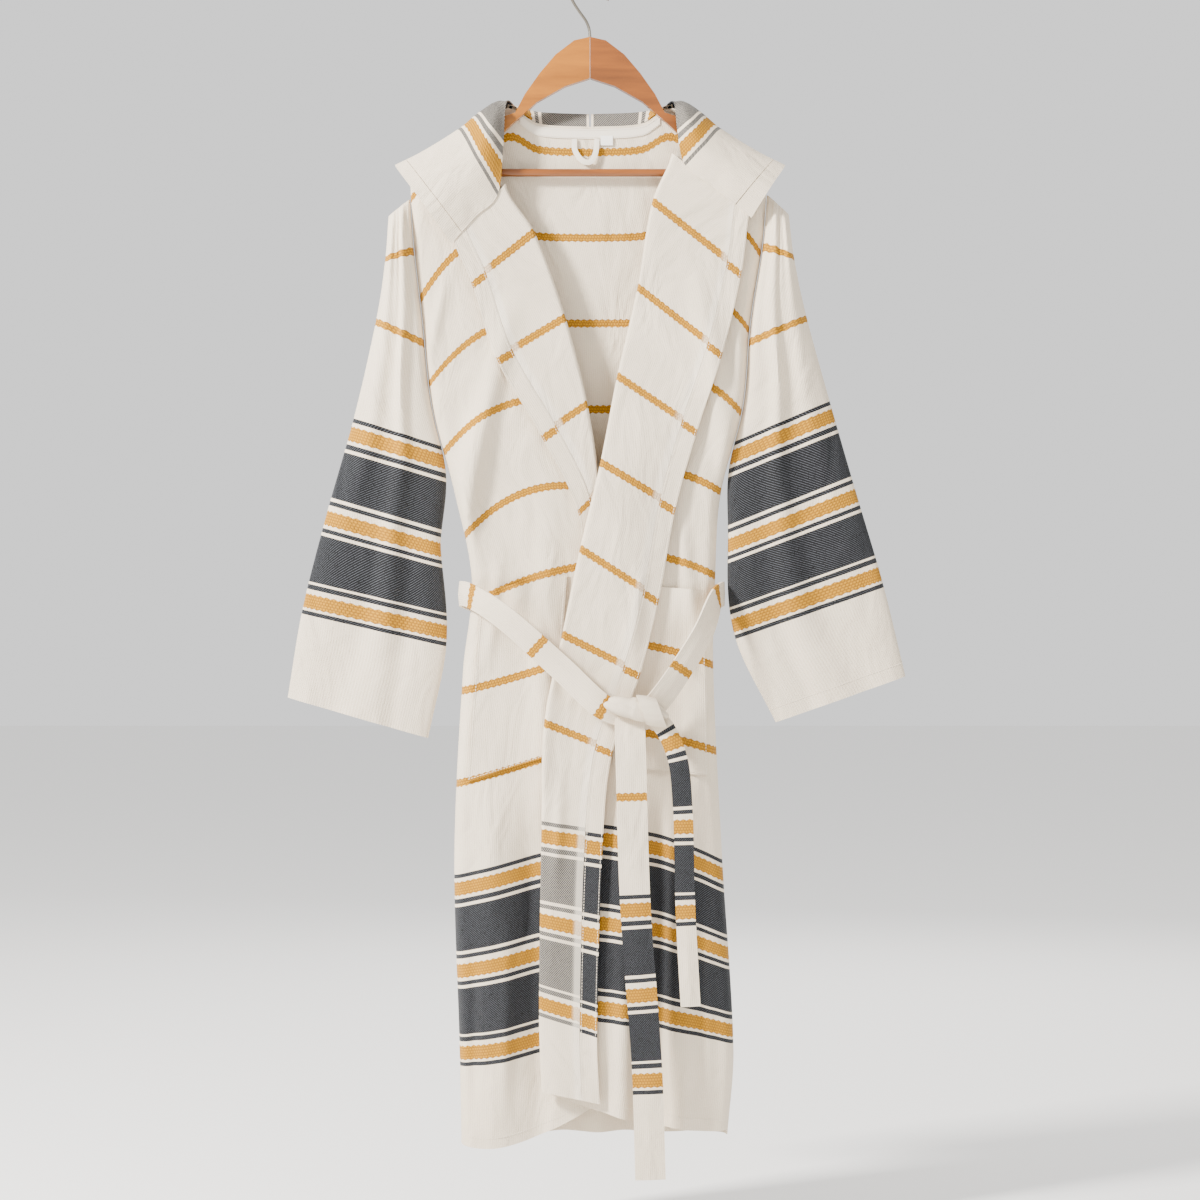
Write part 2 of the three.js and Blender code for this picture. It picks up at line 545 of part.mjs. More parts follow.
// Steel wire hook: a short stem in the wood, a kink and an open bend whose inside top is the origin.
function hangerHook() {
  const centreZ = HOOK.wire - HOOK.bend;
  const points = [
    new THREE.Vector3(0, 0, ARM_TOP[0][1] + HANGER.glueGap),
    new THREE.Vector3(-1, 0, -62),
    new THREE.Vector3(-4, 0, -54),
    new THREE.Vector3(-13, 0, -41),
  ];
  for (const degrees of steps(205, -25, 12)) {
    const angle = THREE.MathUtils.degToRad(degrees);
    points.push(new THREE.Vector3(HOOK.bend * Math.cos(angle), 0, centreZ + HOOK.bend * Math.sin(angle)));
  }
  const section = new THREE.Shape();
  section.absarc(0, 0, HOOK.wire, 0, 2 * Math.PI);
  const path = new THREE.CatmullRomCurve3(points, false, "centripetal");
  return new THREE.ExtrudeGeometry(section, { steps: 40, curveSegments: HOOK.sides / 2, extrudePath: path });
}

function tapeY(x, z) {
  return bodyDepth(x, z, BACK_FOLDS) - NECK_TAPE.lift;
}

function neckTape() {
  const grid = steps(0, 1, 2).map((down) =>
    steps(NECK_TAPE.from, NECK_TAPE.to, 20).map((x) => {
      const z = shoulderZ(x) - NECK_TAPE.topDrop - down * NECK_TAPE.width;
      return new THREE.Vector3(x, tapeY(x, z), z);
    }),
  );
  return clothWall(grid, false, NECK_TAPE.thickness);
}

function sizeLabel() {
  const geometry = new THREE.BoxGeometry(LABEL.width, LABEL.thickness, LABEL.height);
  const top = shoulderZ(LABEL.x) - NECK_TAPE.topDrop - LABEL.drop;
  geometry.translate(LABEL.x, tapeY(LABEL.x, top) - LABEL.gap, top - LABEL.height / 2);
  return geometry;
}

const robe = new THREE.Group();

function add(name, geometry, color, roughness = 0.95, metalness = 0) {
  const mesh = new THREE.Mesh(geometry, new THREE.MeshStandardMaterial({ color, roughness, metalness }));
  mesh.name = name;
  robe.add(mesh);
}

add("back_panel", backPanel(), CREAM);
add("left_front", frontPanel(FRONTS.left), CREAM);
add("right_front", frontPanel(FRONTS.right), CREAM);
add("left_front_band", frontBand(FRONTS.left), CREAM);
add("right_front_band", frontBand(FRONTS.right), CREAM);
add("left_sleeve", sleeve(-1, LEFT_SLEEVE), CREAM);
add("right_sleeve", sleeve(1, RIGHT_SLEEVE), CREAM);
for (const [name, side] of [["left", -1], ["right", 1]]) {
  const seamU = HOOD_FACE_U - BAND_WIDTH;
  add(`${name}_hood`, hoodHalf(side, 0, seamU - HOOD_SEAM_GAP, 12), CREAM);
  add(`${name}_hood_band`, hoodHalf(side, seamU, HOOD_FACE_U, 2), CREAM);
}
add("left_pocket", pocket(FRONTS.left, POCKETS.left), CREAM);
add("right_pocket", pocket(FRONTS.right, POCKETS.right), CREAM);
add("belt_round", strap(BELT_ROUND, 44, BELT.width, BELT.thickness, false), GOLD);
add("belt_knot", knot(), CREAM);
add("belt_long_end", strap(BELT_LONG_END, 20, BELT.longWidth, BELT.thickness, true), CREAM);
add("belt_short_end", strap(BELT_SHORT_END, 16, BELT.shortWidth, BELT.thickness, true), CREAM);
add("neck_tape", neckTape(), CREAM);
add("hanging_loop", strap(HANGING_LOOP, 16, LOOP.width, LOOP.thickness, true), CREAM);
add("size_label", sizeLabel(), CREAM);
add("left_hanger_arm", hangerArm(-1), WOOD, 0.45);
add("right_hanger_arm", hangerArm(1), WOOD, 0.45);
add("hanger_bar", hangerBar(), WOOD, 0.45);
add("hanger_hook", hangerHook(), STEEL, 0.3, 1);

export default robe;
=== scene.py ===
"""Hooded bathrobe of striped towel cloth, tied with its belt and hung on a wooden hanger."""
import logging
import math
from collections.abc import Sequence
from dataclasses import dataclass
from enum import Enum
from functools import partial

import bpy
import numpy as np
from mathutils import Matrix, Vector


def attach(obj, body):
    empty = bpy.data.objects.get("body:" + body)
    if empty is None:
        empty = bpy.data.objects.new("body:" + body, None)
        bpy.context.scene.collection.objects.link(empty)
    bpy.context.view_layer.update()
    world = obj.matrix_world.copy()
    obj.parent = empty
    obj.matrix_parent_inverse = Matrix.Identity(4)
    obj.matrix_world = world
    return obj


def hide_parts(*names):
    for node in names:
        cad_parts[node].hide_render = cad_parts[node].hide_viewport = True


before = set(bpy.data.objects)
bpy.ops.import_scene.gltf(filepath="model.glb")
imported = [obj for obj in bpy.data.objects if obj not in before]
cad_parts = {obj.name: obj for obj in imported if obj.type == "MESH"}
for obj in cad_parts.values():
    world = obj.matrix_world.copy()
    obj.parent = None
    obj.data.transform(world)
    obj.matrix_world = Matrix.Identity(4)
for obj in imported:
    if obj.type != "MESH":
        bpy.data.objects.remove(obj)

LOG = logging.getLogger("bathrobe")
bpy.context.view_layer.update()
MM = 0.001
BODY = "root"
CLOTH_MM = 1.2
BAND_MM = 20.0
SEAM_MM = 0.4
STITCH_LIFT_MM = CLOTH_MM / 2 + 0.25
CARRYING_ARMS = ("left_hanger_arm", "right_hanger_arm")


def srgb(code: str) -> tuple[float, float, float, float]:
    """Turn a hex colour such as "#F3EEE6" into linear red, green, blue and alpha.

    Args:
        code: The colour as six hex digits after a hash.

    Returns:
        Four linear numbers from 0 to 1.
    """
    parts = [int(code[i:i + 2], 16) / 255 for i in (1, 3, 5)]
    linear = [c / 12.92 if c <= 0.04045 else ((c + 0.055) / 1.055) ** 2.4 for c in parts]
    return (linear[0], linear[1], linear[2], 1.0)


def ease(x: np.ndarray) -> np.ndarray:
    """Smooth step from 0 to 1 for each number."""
    s = np.clip(x, 0.0, 1.0)
    return s * s * (3 - 2 * s)


def roll(distance: np.ndarray, reach: float) -> np.ndarray:
    """Quarter-round rise from 0 at an edge to 1 at the given reach."""
    s = np.clip(distance / reach, 0.0, 1.0)
    return np.sqrt(1 - (1 - s) ** 2)


@dataclass(frozen=True)
class CutTable:
    """Named columns of a piece's cut, one row for each level, read along a smooth line."""

    columns: tuple[str, ...]
    rows: tuple[tuple[float, ...], ...]

    def read(self, column: str, at: np.ndarray, key: str | None = None) -> np.ndarray:
        """Read one column at many values of the key.

        Args:
            column: Name of the column.
            at: Values of the key.
            key: Name of the key column; the first one where it is left out.

        Returns:
            The column's value for each key.
        """
        data = np.array(self.rows, dtype=float)
        keys = data[:, self.columns.index(key or self.columns[0])]
        values = data[:, self.columns.index(column)]
        last = len(keys) - 1
        at = np.asarray(at, dtype=float)
        i = np.clip(np.searchsorted(keys, at, side="left") - 1, 0, last - 1)
        before = np.maximum(np.arange(last + 1) - 1, 0)
        after = np.minimum(np.arange(last + 1) + 1, last)
        slope = (values[after] - values[before]) / (keys[after] - keys[before])
        span = keys[i + 1] - keys[i]
        s = np.clip((at - keys[i]) / span, 0.0, 1.0)
        rise = 3 * s * s - 2 * s ** 3
        pull = s * (1 - s) ** 2 * span * slope[i] + s * s * (s - 1) * span * slope[i + 1]
        return values[i] * (1 - rise) + values[i + 1] * rise + pull


@dataclass(frozen=True)
class Fold:
    """One soft upright fold: place, reach down the cloth, lean, width and depth in millimetres."""

    x: float
    top: float
    bottom: float
    lean: float
    width: float
    depth: float


def make_folds(*rows: tuple[float, float, float, float, float, float]) -> tuple[Fold, ...]:
    """Make folds from rows of their six numbers."""
    return tuple(Fold(*row) for row in rows)


def fold_depth(folds: Sequence[Fold], x: np.ndarray, z: np.ndarray) -> np.ndarray:
    """Add up the folds at many places.

    Args:
        folds: The folds of one side of the body.
        x: Places across, in millimetres.
        z: Heights, in millimetres.

    Returns:
        How far the cloth stands out there.
    """
    depth = np.zeros(np.broadcast(x, z).shape)
    for fold in folds:
        fade_top = min(140.0, 0.55 * (fold.top - fold.bottom))
        fade_bottom = min(90.0, 0.35 * (fold.top - fold.bottom))
        along = ease((fold.top - z) / fade_top) * ease((z - fold.bottom) / fade_bottom)
        away = (x - fold.x - fold.lean * (z - fold.top)) / fold.width
        depth = depth + fold.depth * along * np.exp(-away * away)
    return depth


# Cuts of the pieces in millimetres, t being the length of cloth above the hem
BACK_CUT = CutTable(("t", "z", "leftX", "rightX"), (
    (0, -1322, -146, 156), (98, -1225, -148, 163), (318, -1005, -154, 150), (532, -792, -144, 140),
    (633, -692, -134, 142), (733, -594, -153, 148), (834, -494, -179, 173), (934, -396, -190, 182),
    (1035, -297, -201, 197), (1165, -168, -207, 204)))
SHOULDER_CUT = CutTable(("x", "z"), ((0, -172), (60, -168), (93, -152), (150, -190), (207, -228)))
LEFT_FRONT_CUT = CutTable(("t", "sideZ", "midX", "midZ", "foldX", "foldZ", "freeX", "freeZ"), (
    (0, -1331, -76, -1327, 14, -1281, -10, -1286), (98, -1242, -72, -1230, 18, -1203, -6, -1208),
    (318, -1029, -68, -1007, 22, -981, -2, -987), (432, -921, -68, -897, 21, -867, -3, -873),
    (532, -816, -65, -794, 18, -764, -6, -771), (633, -718, -62, -686, 15, -671, -9, -682),
    (733, -640, -72, -590, 9, -588, -14, -611), (834, -545, -92, -490, -6, -492, -56, -526),
    (934, -468, -112, -404, -31, -394, -106, -439), (1035, -371, -133, -304, -66, -297, -135, -352),
    (1090, -301, -151, -248, -98, -243, -154, -306), (1165, -228, -150, -190, -92, -153, -160, -250)))
RIGHT_FRONT_CUT = CutTable(("t", "sideZ", "midX", "midZ", "foldX", "foldZ", "freeX", "freeZ"), (
    (0, -1315, 70, -1306, -51, -1269, 11, -1281), (98, -1217, 68, -1196, -54, -1183, 8, -1201),
    (318, -1012, 62, -978, -51, -966, 15, -976), (432, -884, 60, -862, -48, -852, 26, -882),
    (532, -787, 66, -764, -28, -753, 57, -795), (633, -685, 76, -662, -8, -656, 78, -711),
    (733, -590, 88, -565, 15, -559, 97, -608), (834, -500, 108, -457, 34, -460, 122, -519),
    (934, -407, 125, -360, 57, -360, 150, -433), (1035, -320, 141, -266, 74, -262, 172, -339),
    (1090, -270, 150, -222, 96, -208, 180, -276), (1165, -226, 150, -190, 92, -153, 190, -226)))
SLEEVE_COLUMNS = ("t", "outerX", "outerZ", "innerX", "innerZ", "depth")
LEFT_SLEEVE_CUT = CutTable(SLEEVE_COLUMNS, (
    (0, -344, -824, -185, -870, 10), (103, -327, -723, -164, -760, 13), (215, -299, -613, -171, -650, 15),
    (328, -267, -500, -180, -531, 19), (440, -242, -389, -190, -412, 22), (540, -232, -320, -203, -308, 21),
    (590, -229, -276, -208, -257, 17)))
RIGHT_SLEEVE_CUT = CutTable(SLEEVE_COLUMNS, (
    (0, 359, -800, 212, -852, 10), (103, 333, -693, 165, -752, 13), (215, 302, -588, 158, -645, 15),
    (328, 271, -481, 172, -526, 19), (440, 245, -386, 184, -411, 22), (540, 231, -318, 200, -303, 21),
    (590, 226, -274, 205, -252, 17)))
HOOD_CUT = CutTable(("u", "rightX", "rightZ", "neckX", "neckY", "neckZ", "topX", "topY", "topZ",
                     "backX", "backY", "backZ", "midY", "midZ"), (
    (0, 1, -168, -1, 14, -168, -1, 24, -156, -1, 38, -300, 47, -432),
    (60, 58, -164, -58, 14, -164, -60, 25, -153, -66, 42, -290, 54, -418),
    (90, 83, -151, -83, 10, -151, -88, 20, -147, -90, 45, -281, 58, -402),
    (120, 95, -146, -95, -4, -146, -106, 16, -144, -112, 47, -272, 61, -385),
    (150, 99, -176, -98, -20, -188, -126, -4, -158, -128, 49, -267, 64, -358),
    (186, 107, -215, -104, -27, -248, -148, -4, -176, -146, 50, -262, 67, -330),
    (240, 140, -242, -129, -30, -275, -190, -3, -202, -169, 50, -256, 71, -285),
    (290, 183, -277, -157, -31, -306, -222, -3, -218, -190, 48, -246, 74, -240)))

# Folds that the solids have too
FRONT_FOLDS = make_folds(
    (-118, -420, -760, 0.1, 14, 7), (-84, -350, -700, 0.22, 12, 9), (-46, -560, -1000, 0.02, 15, 6),
    (-112, -860, -1400, -0.01, 22, 9), (-70, -900, -1400, -0.03, 14, -6),
    (44, -900, -1400, 0.02, 13, 11), (84, -880, -1400, 0.03, 12, -8), (120, -780, -1400, 0.03, 16, 9),
    (118, -300, -720, -0.16, 15, 8), (160, -330, -640, -0.1, 11, 6))
BACK_FOLDS = make_folds(
    (-122, -520, -1400, 0.02, 18, 11), (-76, -640, -1400, -0.02, 14, -8),
    (-30, -460, -1400, 0.0, 20, 12), (22, -700, -1400, 0.02, 14, -7), (64, -540, -1400, 0.03, 18, 12),
    (118, -600, -1400, 0.0, 16, 8))

# Small creases that the solids don't have
FRONT_CREASES = make_folds(
    (-150, -300, -480, 0.25, 7, 4.5), (-128, -470, -640, 0.18, 8, 5.25),
    (-100, -640, -800, 0.1, 7, 4.5), (-60, -700, -840, -0.25, 8, -4.5),
    (-30, -860, -1060, 0.05, 7, 4.5), (-92, -1040, -1320, 0.02, 8, 4.5),
    (-132, -1080, -1330, 0.0, 7, -3.75), (20, -1000, -1290, 0.03, 8, 4.5),
    (66, -1060, -1310, 0.0, 7, -3.75), (100, -960, -1300, 0.03, 8, 4.5),
    (138, -1000, -1320, 0.02, 7, 4.5), (96, -560, -760, -0.12, 8, 4.5),
    (138, -520, -700, -0.1, 7, -3.75), (128, -700, -820, 0.15, 7, 4.5), (60, -640, -800, 0.1, 9, 4.5))
BACK_CREASES = make_folds(
    (-150, -330, -560, 0.12, 9, 6), (-98, -380, -620, 0.06, 8, 5.25), (-54, -700, -900, 0.03, 8, 6),
    (0, -520, -760, 0.0, 8, -4.5), (40, -760, -1000, 0.02, 8, 5.25), (92, -400, -640, -0.05, 9, 6),
    (150, -330, -540, -0.12, 8, 6), (-104, -980, -1300, 0.0, 8, 4.5), (-10, -1000, -1310, 0.02, 7, 4.5),
    (90, -1020, -1310, 0.0, 8, -4.5), (132, -960, -1290, 0.02, 8, 4.5))


class BodyForm:
    """The hanging body of the robe: its side seams, shoulders, fullness and folds, in millimetres."""

    seam_half = 0.45
    side_roll = 13.0
    top_roll = 9.0
    neck_half = 84.0
    top_fullness = 11.0
    hem_fullness = 7.0
    fullness_from = -250.0
    fullness_reach = 500.0

    def side_x(self, side: int, z: np.ndarray) -> np.ndarray:
        """Place of the left (-1) or right (+1) side seam at each height."""
        return BACK_CUT.read("leftX" if side < 0 else "rightX", z, key="z")

    def shoulder_z(self, x: np.ndarray) -> np.ndarray:
        """Height of the shoulder and neck line at each place across."""
        return SHOULDER_CUT.read("z", np.abs(x))

    def away_from_seams(self, x: np.ndarray, z: np.ndarray) -> np.ndarray:
        """How far the cloth has rolled away from its seams.

        Args:
            x: Places across.
            z: Heights.

        Returns:
            0 at a side or shoulder seam, 1 in the open panel.
        """
        side = np.where(x < 0, -1, 1)
        seam = np.where(x < 0, self.side_x(-1, z), self.side_x(1, z))
        on_shoulder = ease((np.abs(x) - self.neck_half) / 16)
        from_top = 1 + (roll(self.shoulder_z(x) - z, self.top_roll) - 1) * on_shoulder
        return roll(side * (seam - x), self.side_roll) * from_top

    def depth(self, x: np.ndarray, z: np.ndarray, folds: Sequence[Fold]) -> np.ndarray:
        """How far the cloth stands from the hanger's plane.

        Args:
            x: Places across.
            z: Heights.
            folds: Folds of this side of the body.

        Returns:
            The distance for each place.
        """
        added = self.hem_fullness * ease((self.fullness_from - z) / self.fullness_reach)
        fullness = self.top_fullness + added
        return self.seam_half + self.away_from_seams(x, z) * (fullness + fold_depth(folds, x, z))


@dataclass
class ClothGrid:
    """Middle points of a cloth piece in rows and columns, with the place of each in the woven cloth."""

    points: np.ndarray
    across: np.ndarray
    along: np.ndarray
    wraps: bool = False
    thickness: float = CLOTH_MM
    seam_strip: np.ndarray | None = None

    def normals(self) -> np.ndarray:
        """Unit normals of the middle surface at each point."""
        p = self.points
        along = np.gradient(p, axis=0)
        if self.wraps:
            across = np.roll(p, -1, axis=1) - np.roll(p, 1, axis=1)
        else:
            across = np.gradient(p, axis=1)
        normal = np.cross(across, along)
        return normal / np.maximum(np.linalg.norm(normal, axis=2, keepdims=True), 1e-9)

    def to_object(self, name: str, material: bpy.types.Material,
                  outer_reversed: bool = False) -> bpy.types.Object:
        """Make the closed wall of the piece as a Blender object.

        Args:
            name: Name of the object.
            material: Its finish.
            outer_reversed: True where the first face is the cloth's wrong side.

        Returns:
            The new object, in metres, with its weave on a UV map and its wrong side marked.
        """
        rows, columns = self.points.shape[:2]
        size = rows * columns
        lift = self.normals() * self.thickness / 2
        outer = (self.points + lift).reshape(-1, 3)
        inner = (self.points - lift).reshape(-1, 3)
        spans = columns if self.wraps else columns - 1
        faces: list[tuple[int, int, int, int]] = []
        face_sides: list[int] = []

        def add(corners: tuple[int, int, int, int], side: int) -> None:
            """Keep one four-cornered face and the side of the cloth it shows."""
            faces.append(corners)
            face_sides.append(side)

        for i in range(rows - 1):
            for j in range(spans):
                k = (j + 1) % columns
                a, b, c, d = i * columns + j, i * columns + k, (i + 1) * columns + k, (i + 1) * columns + j
                add((a, b, c, d), 0)
                add((size + d, size + c, size + b, size + a), 1)
        top = (rows - 1) * columns
        for j in range(spans):
            k = (j + 1) % columns
            add((size + j, size + k, k, j), 0)
            add((top + j, top + k, size + top + k, size + top + j), 0)
        if not self.wraps:
            end = columns - 1
            for i in range(rows - 1):
                a, b = i * columns, (i + 1) * columns
                add((a, b, size + b, size + a), 0)
                add((size + a + end, size + b + end, b + end, a + end), 0)
        mesh = bpy.data.meshes.new(name)
        mesh.from_pydata((np.vstack([outer, inner]) * MM).tolist(), [], faces)
        across = np.tile(self.across.reshape(-1), 2) * MM
        along = np.tile(self.along.reshape(-1), 2) * MM
        loops = np.zeros(len(mesh.loops), dtype=int)
        mesh.loops.foreach_get("vertex_index", loops)
        uv = mesh.uv_layers.new(name="weave")
        uv.data.foreach_set("uv", np.column_stack([across[loops], along[loops]]).reshape(-1))
        marks = np.array(face_sides, dtype=float)
        if outer_reversed:
            marks = 1 - marks
        wrong = mesh.attributes.new("wrong_side", "FLOAT", "FACE")
        wrong.data.foreach_set("value", marks)
        if self.seam_strip is not None:
            strip = mesh.attributes.new("seam_strip", "FLOAT", "POINT")
            strip.data.foreach_set("value", np.tile(self.seam_strip.reshape(-1), 2))
        if signed_volume(mesh) < 0:
            mesh.flip_normals()
        mesh.shade_smooth()
        mesh.set_sharp_from_angle(angle=math.radians(50))
        mesh.materials.append(material)
        mesh.update()
        piece = bpy.data.objects.new(name, mesh)
        bpy.context.scene.collection.objects.link(piece)
        return piece

    def area(self) -> float:
        """Area of the middle surface in square metres."""
        p = np.concatenate([self.points, self.points[:, :1]], axis=1) if self.wraps else self.points
        first = p[1:, :-1] - p[:-1, 1:]
        second = p[1:, 1:] - p[:-1, :-1]
        return float(np.linalg.norm(np.cross(first, second), axis=2).sum() / 2) * MM * MM


def signed_volume(mesh: bpy.types.Mesh) -> float:
    """Volume inside a mesh, below 0 where its faces point inwards."""
    mesh.calc_loop_triangles()
    points = np.zeros(len(mesh.vertices) * 3)
    mesh.vertices.foreach_get("co", points)
    corners = np.zeros(len(mesh.loop_triangles) * 3, dtype=int)
    mesh.loop_triangles.foreach_get("vertices", corners)
    a, b, c = points.reshape(-1, 3)[corners.reshape(-1, 3)].transpose(1, 0, 2)
    return float((a * np.cross(b, c)).sum() / 6)


def declare(piece: bpy.types.Object, nodes: Sequence[str]) -> None:
    """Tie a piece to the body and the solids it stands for.

    Args:
        piece: The finished object.
        nodes: Names of the solids that it replaces.
    """
    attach(piece, BODY)
    if nodes:
        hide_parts(*nodes)
    LOG.info("made %s with %d faces", piece.name, len(piece.data.polygons))


def declare_cloth(grid: ClothGrid, piece: bpy.types.Object, node: str, cut: tuple[float, float],
                  rests_on: Sequence[str]) -> None:
    """Declare a cloth piece with the size it was cut to.

    Args:
        grid: The cloth's grid, for its area.
        piece: The finished object.
        node: The solid that it replaces.
        cut: Width and length of the cut in metres.
        rests_on: What it rests on or hangs from; not used.
    """
    declare(piece, [node])
    area = grid.area()
    share = area / (cut[0] * cut[1])
    runs = [np.linalg.norm(np.diff(grid.points, axis=axis), axis=2).sum(axis=axis) * MM for axis in (1, 0)]
    LOG.info("%s: widest %.3f m, longest %.3f m, cloth area %.4f m2, share of cut %.2f",
             piece.name, runs[0].max(), runs[1].max(), area, share)
    list(rests_on)


class Side(Enum):
    """Side of the robe as seen from the front."""

    LEFT = -1
    RIGHT = 1

    @property
    def word(self) -> str:
        """The side's name as it begins a solid's name."""
        return self.name.lower()


@dataclass
class FrontPanel:
    """One front with its edge turned back outwards and the band sewn along that edge."""

    side: Side
    cut: CutTable
    body: BodyForm
    turn_back: float = 6.0
    overlap_lift: float = 14.0
    shoulder_t: float = 1165.0
    neck_t: float = 1090.0
    band_shift: float = 4.5
    hem_stitch_t: float = 12.0
    edge_stitch: float = 1.6
    rows: int = 190

    def lift(self, x: np.ndarray, z: np.ndarray) -> np.ndarray:
        """How far this front lies over the other one."""
        if self.side is Side.LEFT:
            return np.zeros(np.broadcast(x, z).shape)
        return self.overlap_lift * (1 - ease((x - 30) / 75)) * ease((-490 - z) / 90)

    def front_y(self, x: np.ndarray, z: np.ndarray) -> np.ndarray:
        """Depth of the front's middle surface at each place."""
        return -self.body.depth(x, z, FRONT_FOLDS + FRONT_CREASES) - self.lift(x, z)

    def panel_point(self, share: np.ndarray, t: np.ndarray) -> np.ndarray:
        """Points of the front between side seam (0) and fold (1) at cloth lengths t."""
        at_side = 2 * (share - 0.5) * (share - 1)
        at_middle = -4 * share * (share - 1)
        at_fold = 2 * share * (share - 0.5)
        side_z = self.cut.read("sideZ", t)
        z = side_z * at_side + self.cut.read("midZ", t) * at_middle + self.cut.read("foldZ", t) * at_fold
        x = (self.body.side_x(self.side.value, side_z) * at_side + self.cut.read("midX", t) * at_middle
             + self.cut.read("foldX", t) * at_fold)
        return np.stack([x, self.front_y(x, z), z], axis=-1)

    def width(self, t: np.ndarray) -> np.ndarray:
        """Width of the turned-back edge with its band at cloth lengths t."""
        run = self.cut.read("freeX", t) - self.cut.read("foldX", t)
        rise = self.cut.read("freeZ", t) - self.cut.read("foldZ", t)
        return np.hypot(run, rise)

    def lapel_y(self, x: np.ndarray, z: np.ndarray, share: np.ndarray) -> np.ndarray:
        """Depth of the turned-back edge, share 0 at the fold and 1 at the free edge."""
        return self.front_y(x, z) - self.turn_back - 3 * share * share

    def lapel_point(self, from_fold: np.ndarray, t: np.ndarray) -> np.ndarray:
        """Points of the turned-back edge, so many millimetres out from the fold."""
        share = from_fold / self.width(t)
        fold_x, fold_z = self.cut.read("foldX", t), self.cut.read("foldZ", t)
        x = fold_x + (self.cut.read("freeX", t) - fold_x) * share
        z = fold_z + (self.cut.read("freeZ", t) - fold_z) * share
        return np.stack([x, self.lapel_y(x, z, share), z], axis=-1)

    def panel_grid(self) -> ClothGrid:
        """Grid of the front and its turned-back edge up to the band's seam."""
        v = row_shares(self.rows)
        shares = np.concatenate([[0, 0.006, 0.015, 0.03, 0.05, 0.075], np.linspace(0.1, 0.93, 44),
                                 [0.95, 0.97, 0.985, 1.0]])
        top = self.shoulder_t + (self.neck_t - self.shoulder_t) * ease((shares - 0.84) / 0.16)
        t = v[:, None] * top[None, :]
        panel = self.panel_point(np.broadcast_to(shares, t.shape), t)
        lapel_t = v * self.neck_t
        turns = np.array([30.0, 90.0, 150.0])
        start = self.lapel_point(np.zeros_like(lapel_t), lapel_t)
        outward = self.lapel_point(np.full_like(lapel_t, -3.0), lapel_t) - start
        outward[:, 1] = 0
        turn = [start + outward * math.sin(math.radians(a))
                + np.array([0, self.turn_back * (0.5 + 0.5 * math.cos(math.radians(a))), 0]) for a in turns]
        end = self.width(lapel_t) - BAND_MM - SEAM_MM
        reach = np.linspace(0, 1, 22)[None, :] * end[:, None]
        lapel = self.lapel_point(reach, np.broadcast_to(lapel_t[:, None], reach.shape))
        points = np.concatenate([panel, np.stack(turn, axis=1), lapel], axis=1)
        along = np.concatenate([t, np.repeat(lapel_t[:, None], 3 + reach.shape[1], axis=1)], axis=1)
        to_seam = end[:, None] - np.concatenate([np.full((len(v), t.shape[1] + 3), -99.0), reach], axis=1)
        strip = np.where(np.arange(along.shape[1]) < t.shape[1] + 3, 0, 1 - ease((to_seam - 6.5) / 3))
        return ClothGrid(points, run_across(points), along, seam_strip=strip)

    def band_grid(self) -> ClothGrid:
        """Grid of the band sewn along the free edge, its stripes a little off those of the front."""
        t = row_shares(self.rows) * self.neck_t
        width = self.width(t)
        reach = width[:, None] - BAND_MM + np.linspace(0, BAND_MM, 9)[None, :]
        grid_t = np.broadcast_to(t[:, None], reach.shape)
        points = self.lapel_point(reach, grid_t)
        swell = 0.35 * np.sin(np.linspace(0, math.pi, 9))
        points[..., 1] -= swell
        return ClothGrid(points, run_across(points), grid_t + self.band_shift)

    def locate(self, x: np.ndarray, z: np.ndarray) -> tuple[np.ndarray, np.ndarray]:
        """Find the cloth coordinates under given places.

        Args:
            x: Places across.
            z: Heights.

        Returns:
            Share across the panel and length of cloth above the hem.
        """
        share, t = np.full(x.shape, 0.5), z + 1330.0
        for _ in range(24):
            found = self.panel_point(share, t)
            share = np.clip(share + (x - found[..., 0]) / (self.side.value * -170.0), 0, 1)
            t = t + 0.8 * (z - found[..., 2])
        return share, t

    def build(self, finishes: "Finishes") -> None:
        """Make the front and its band."""
        word = self.side.word
        grid = self.panel_grid()
        right = self.side is Side.RIGHT
        panel = grid.to_object(f"{word}_front_cloth", finishes.towel, outer_reversed=right)
        declare_cloth(grid, panel, f"{word}_front", (0.32, 1.16), CARRYING_ARMS)
        band = self.band_grid()
        strip = band.to_object(f"{word}_front_band_cloth", finishes.towel, outer_reversed=not right)
        declare_cloth(band, strip, f"{word}_front_band", (0.022, 1.04), [f"{word}_front_cloth"])
        share = np.linspace(0.02, 0.98, 160)
        hem = self.panel_point(share, np.full_like(share, self.hem_stitch_t))
        hem[:, 1] -= STITCH_LIFT_MM
        finishes.stitcher.sew(f"{word}_hem_stitches", hem)
        for from_edge in (self.edge_stitch, BAND_MM - self.edge_stitch):
            t = np.linspace(4, self.neck_t - 4, 240)
            line = self.lapel_point(self.width(t) - from_edge, t)
            line[:, 1] -= STITCH_LIFT_MM
            finishes.stitcher.sew(f"{word}_band_stitches_{round(from_edge)}", line)


def row_shares(count: int) -> np.ndarray:
    """Shares from 0 to 1 along a panel, closer together at its top."""
    return np.concatenate([np.linspace(0, 0.93, count), np.linspace(0.93, 1, 22)[1:]])


def run_across(points: np.ndarray) -> np.ndarray:
    """Running width of the cloth along each row of a grid."""
    steps = np.linalg.norm(np.diff(points, axis=1), axis=2)
    return np.concatenate([np.zeros((len(points), 1)), np.cumsum(steps, axis=1)], axis=1)


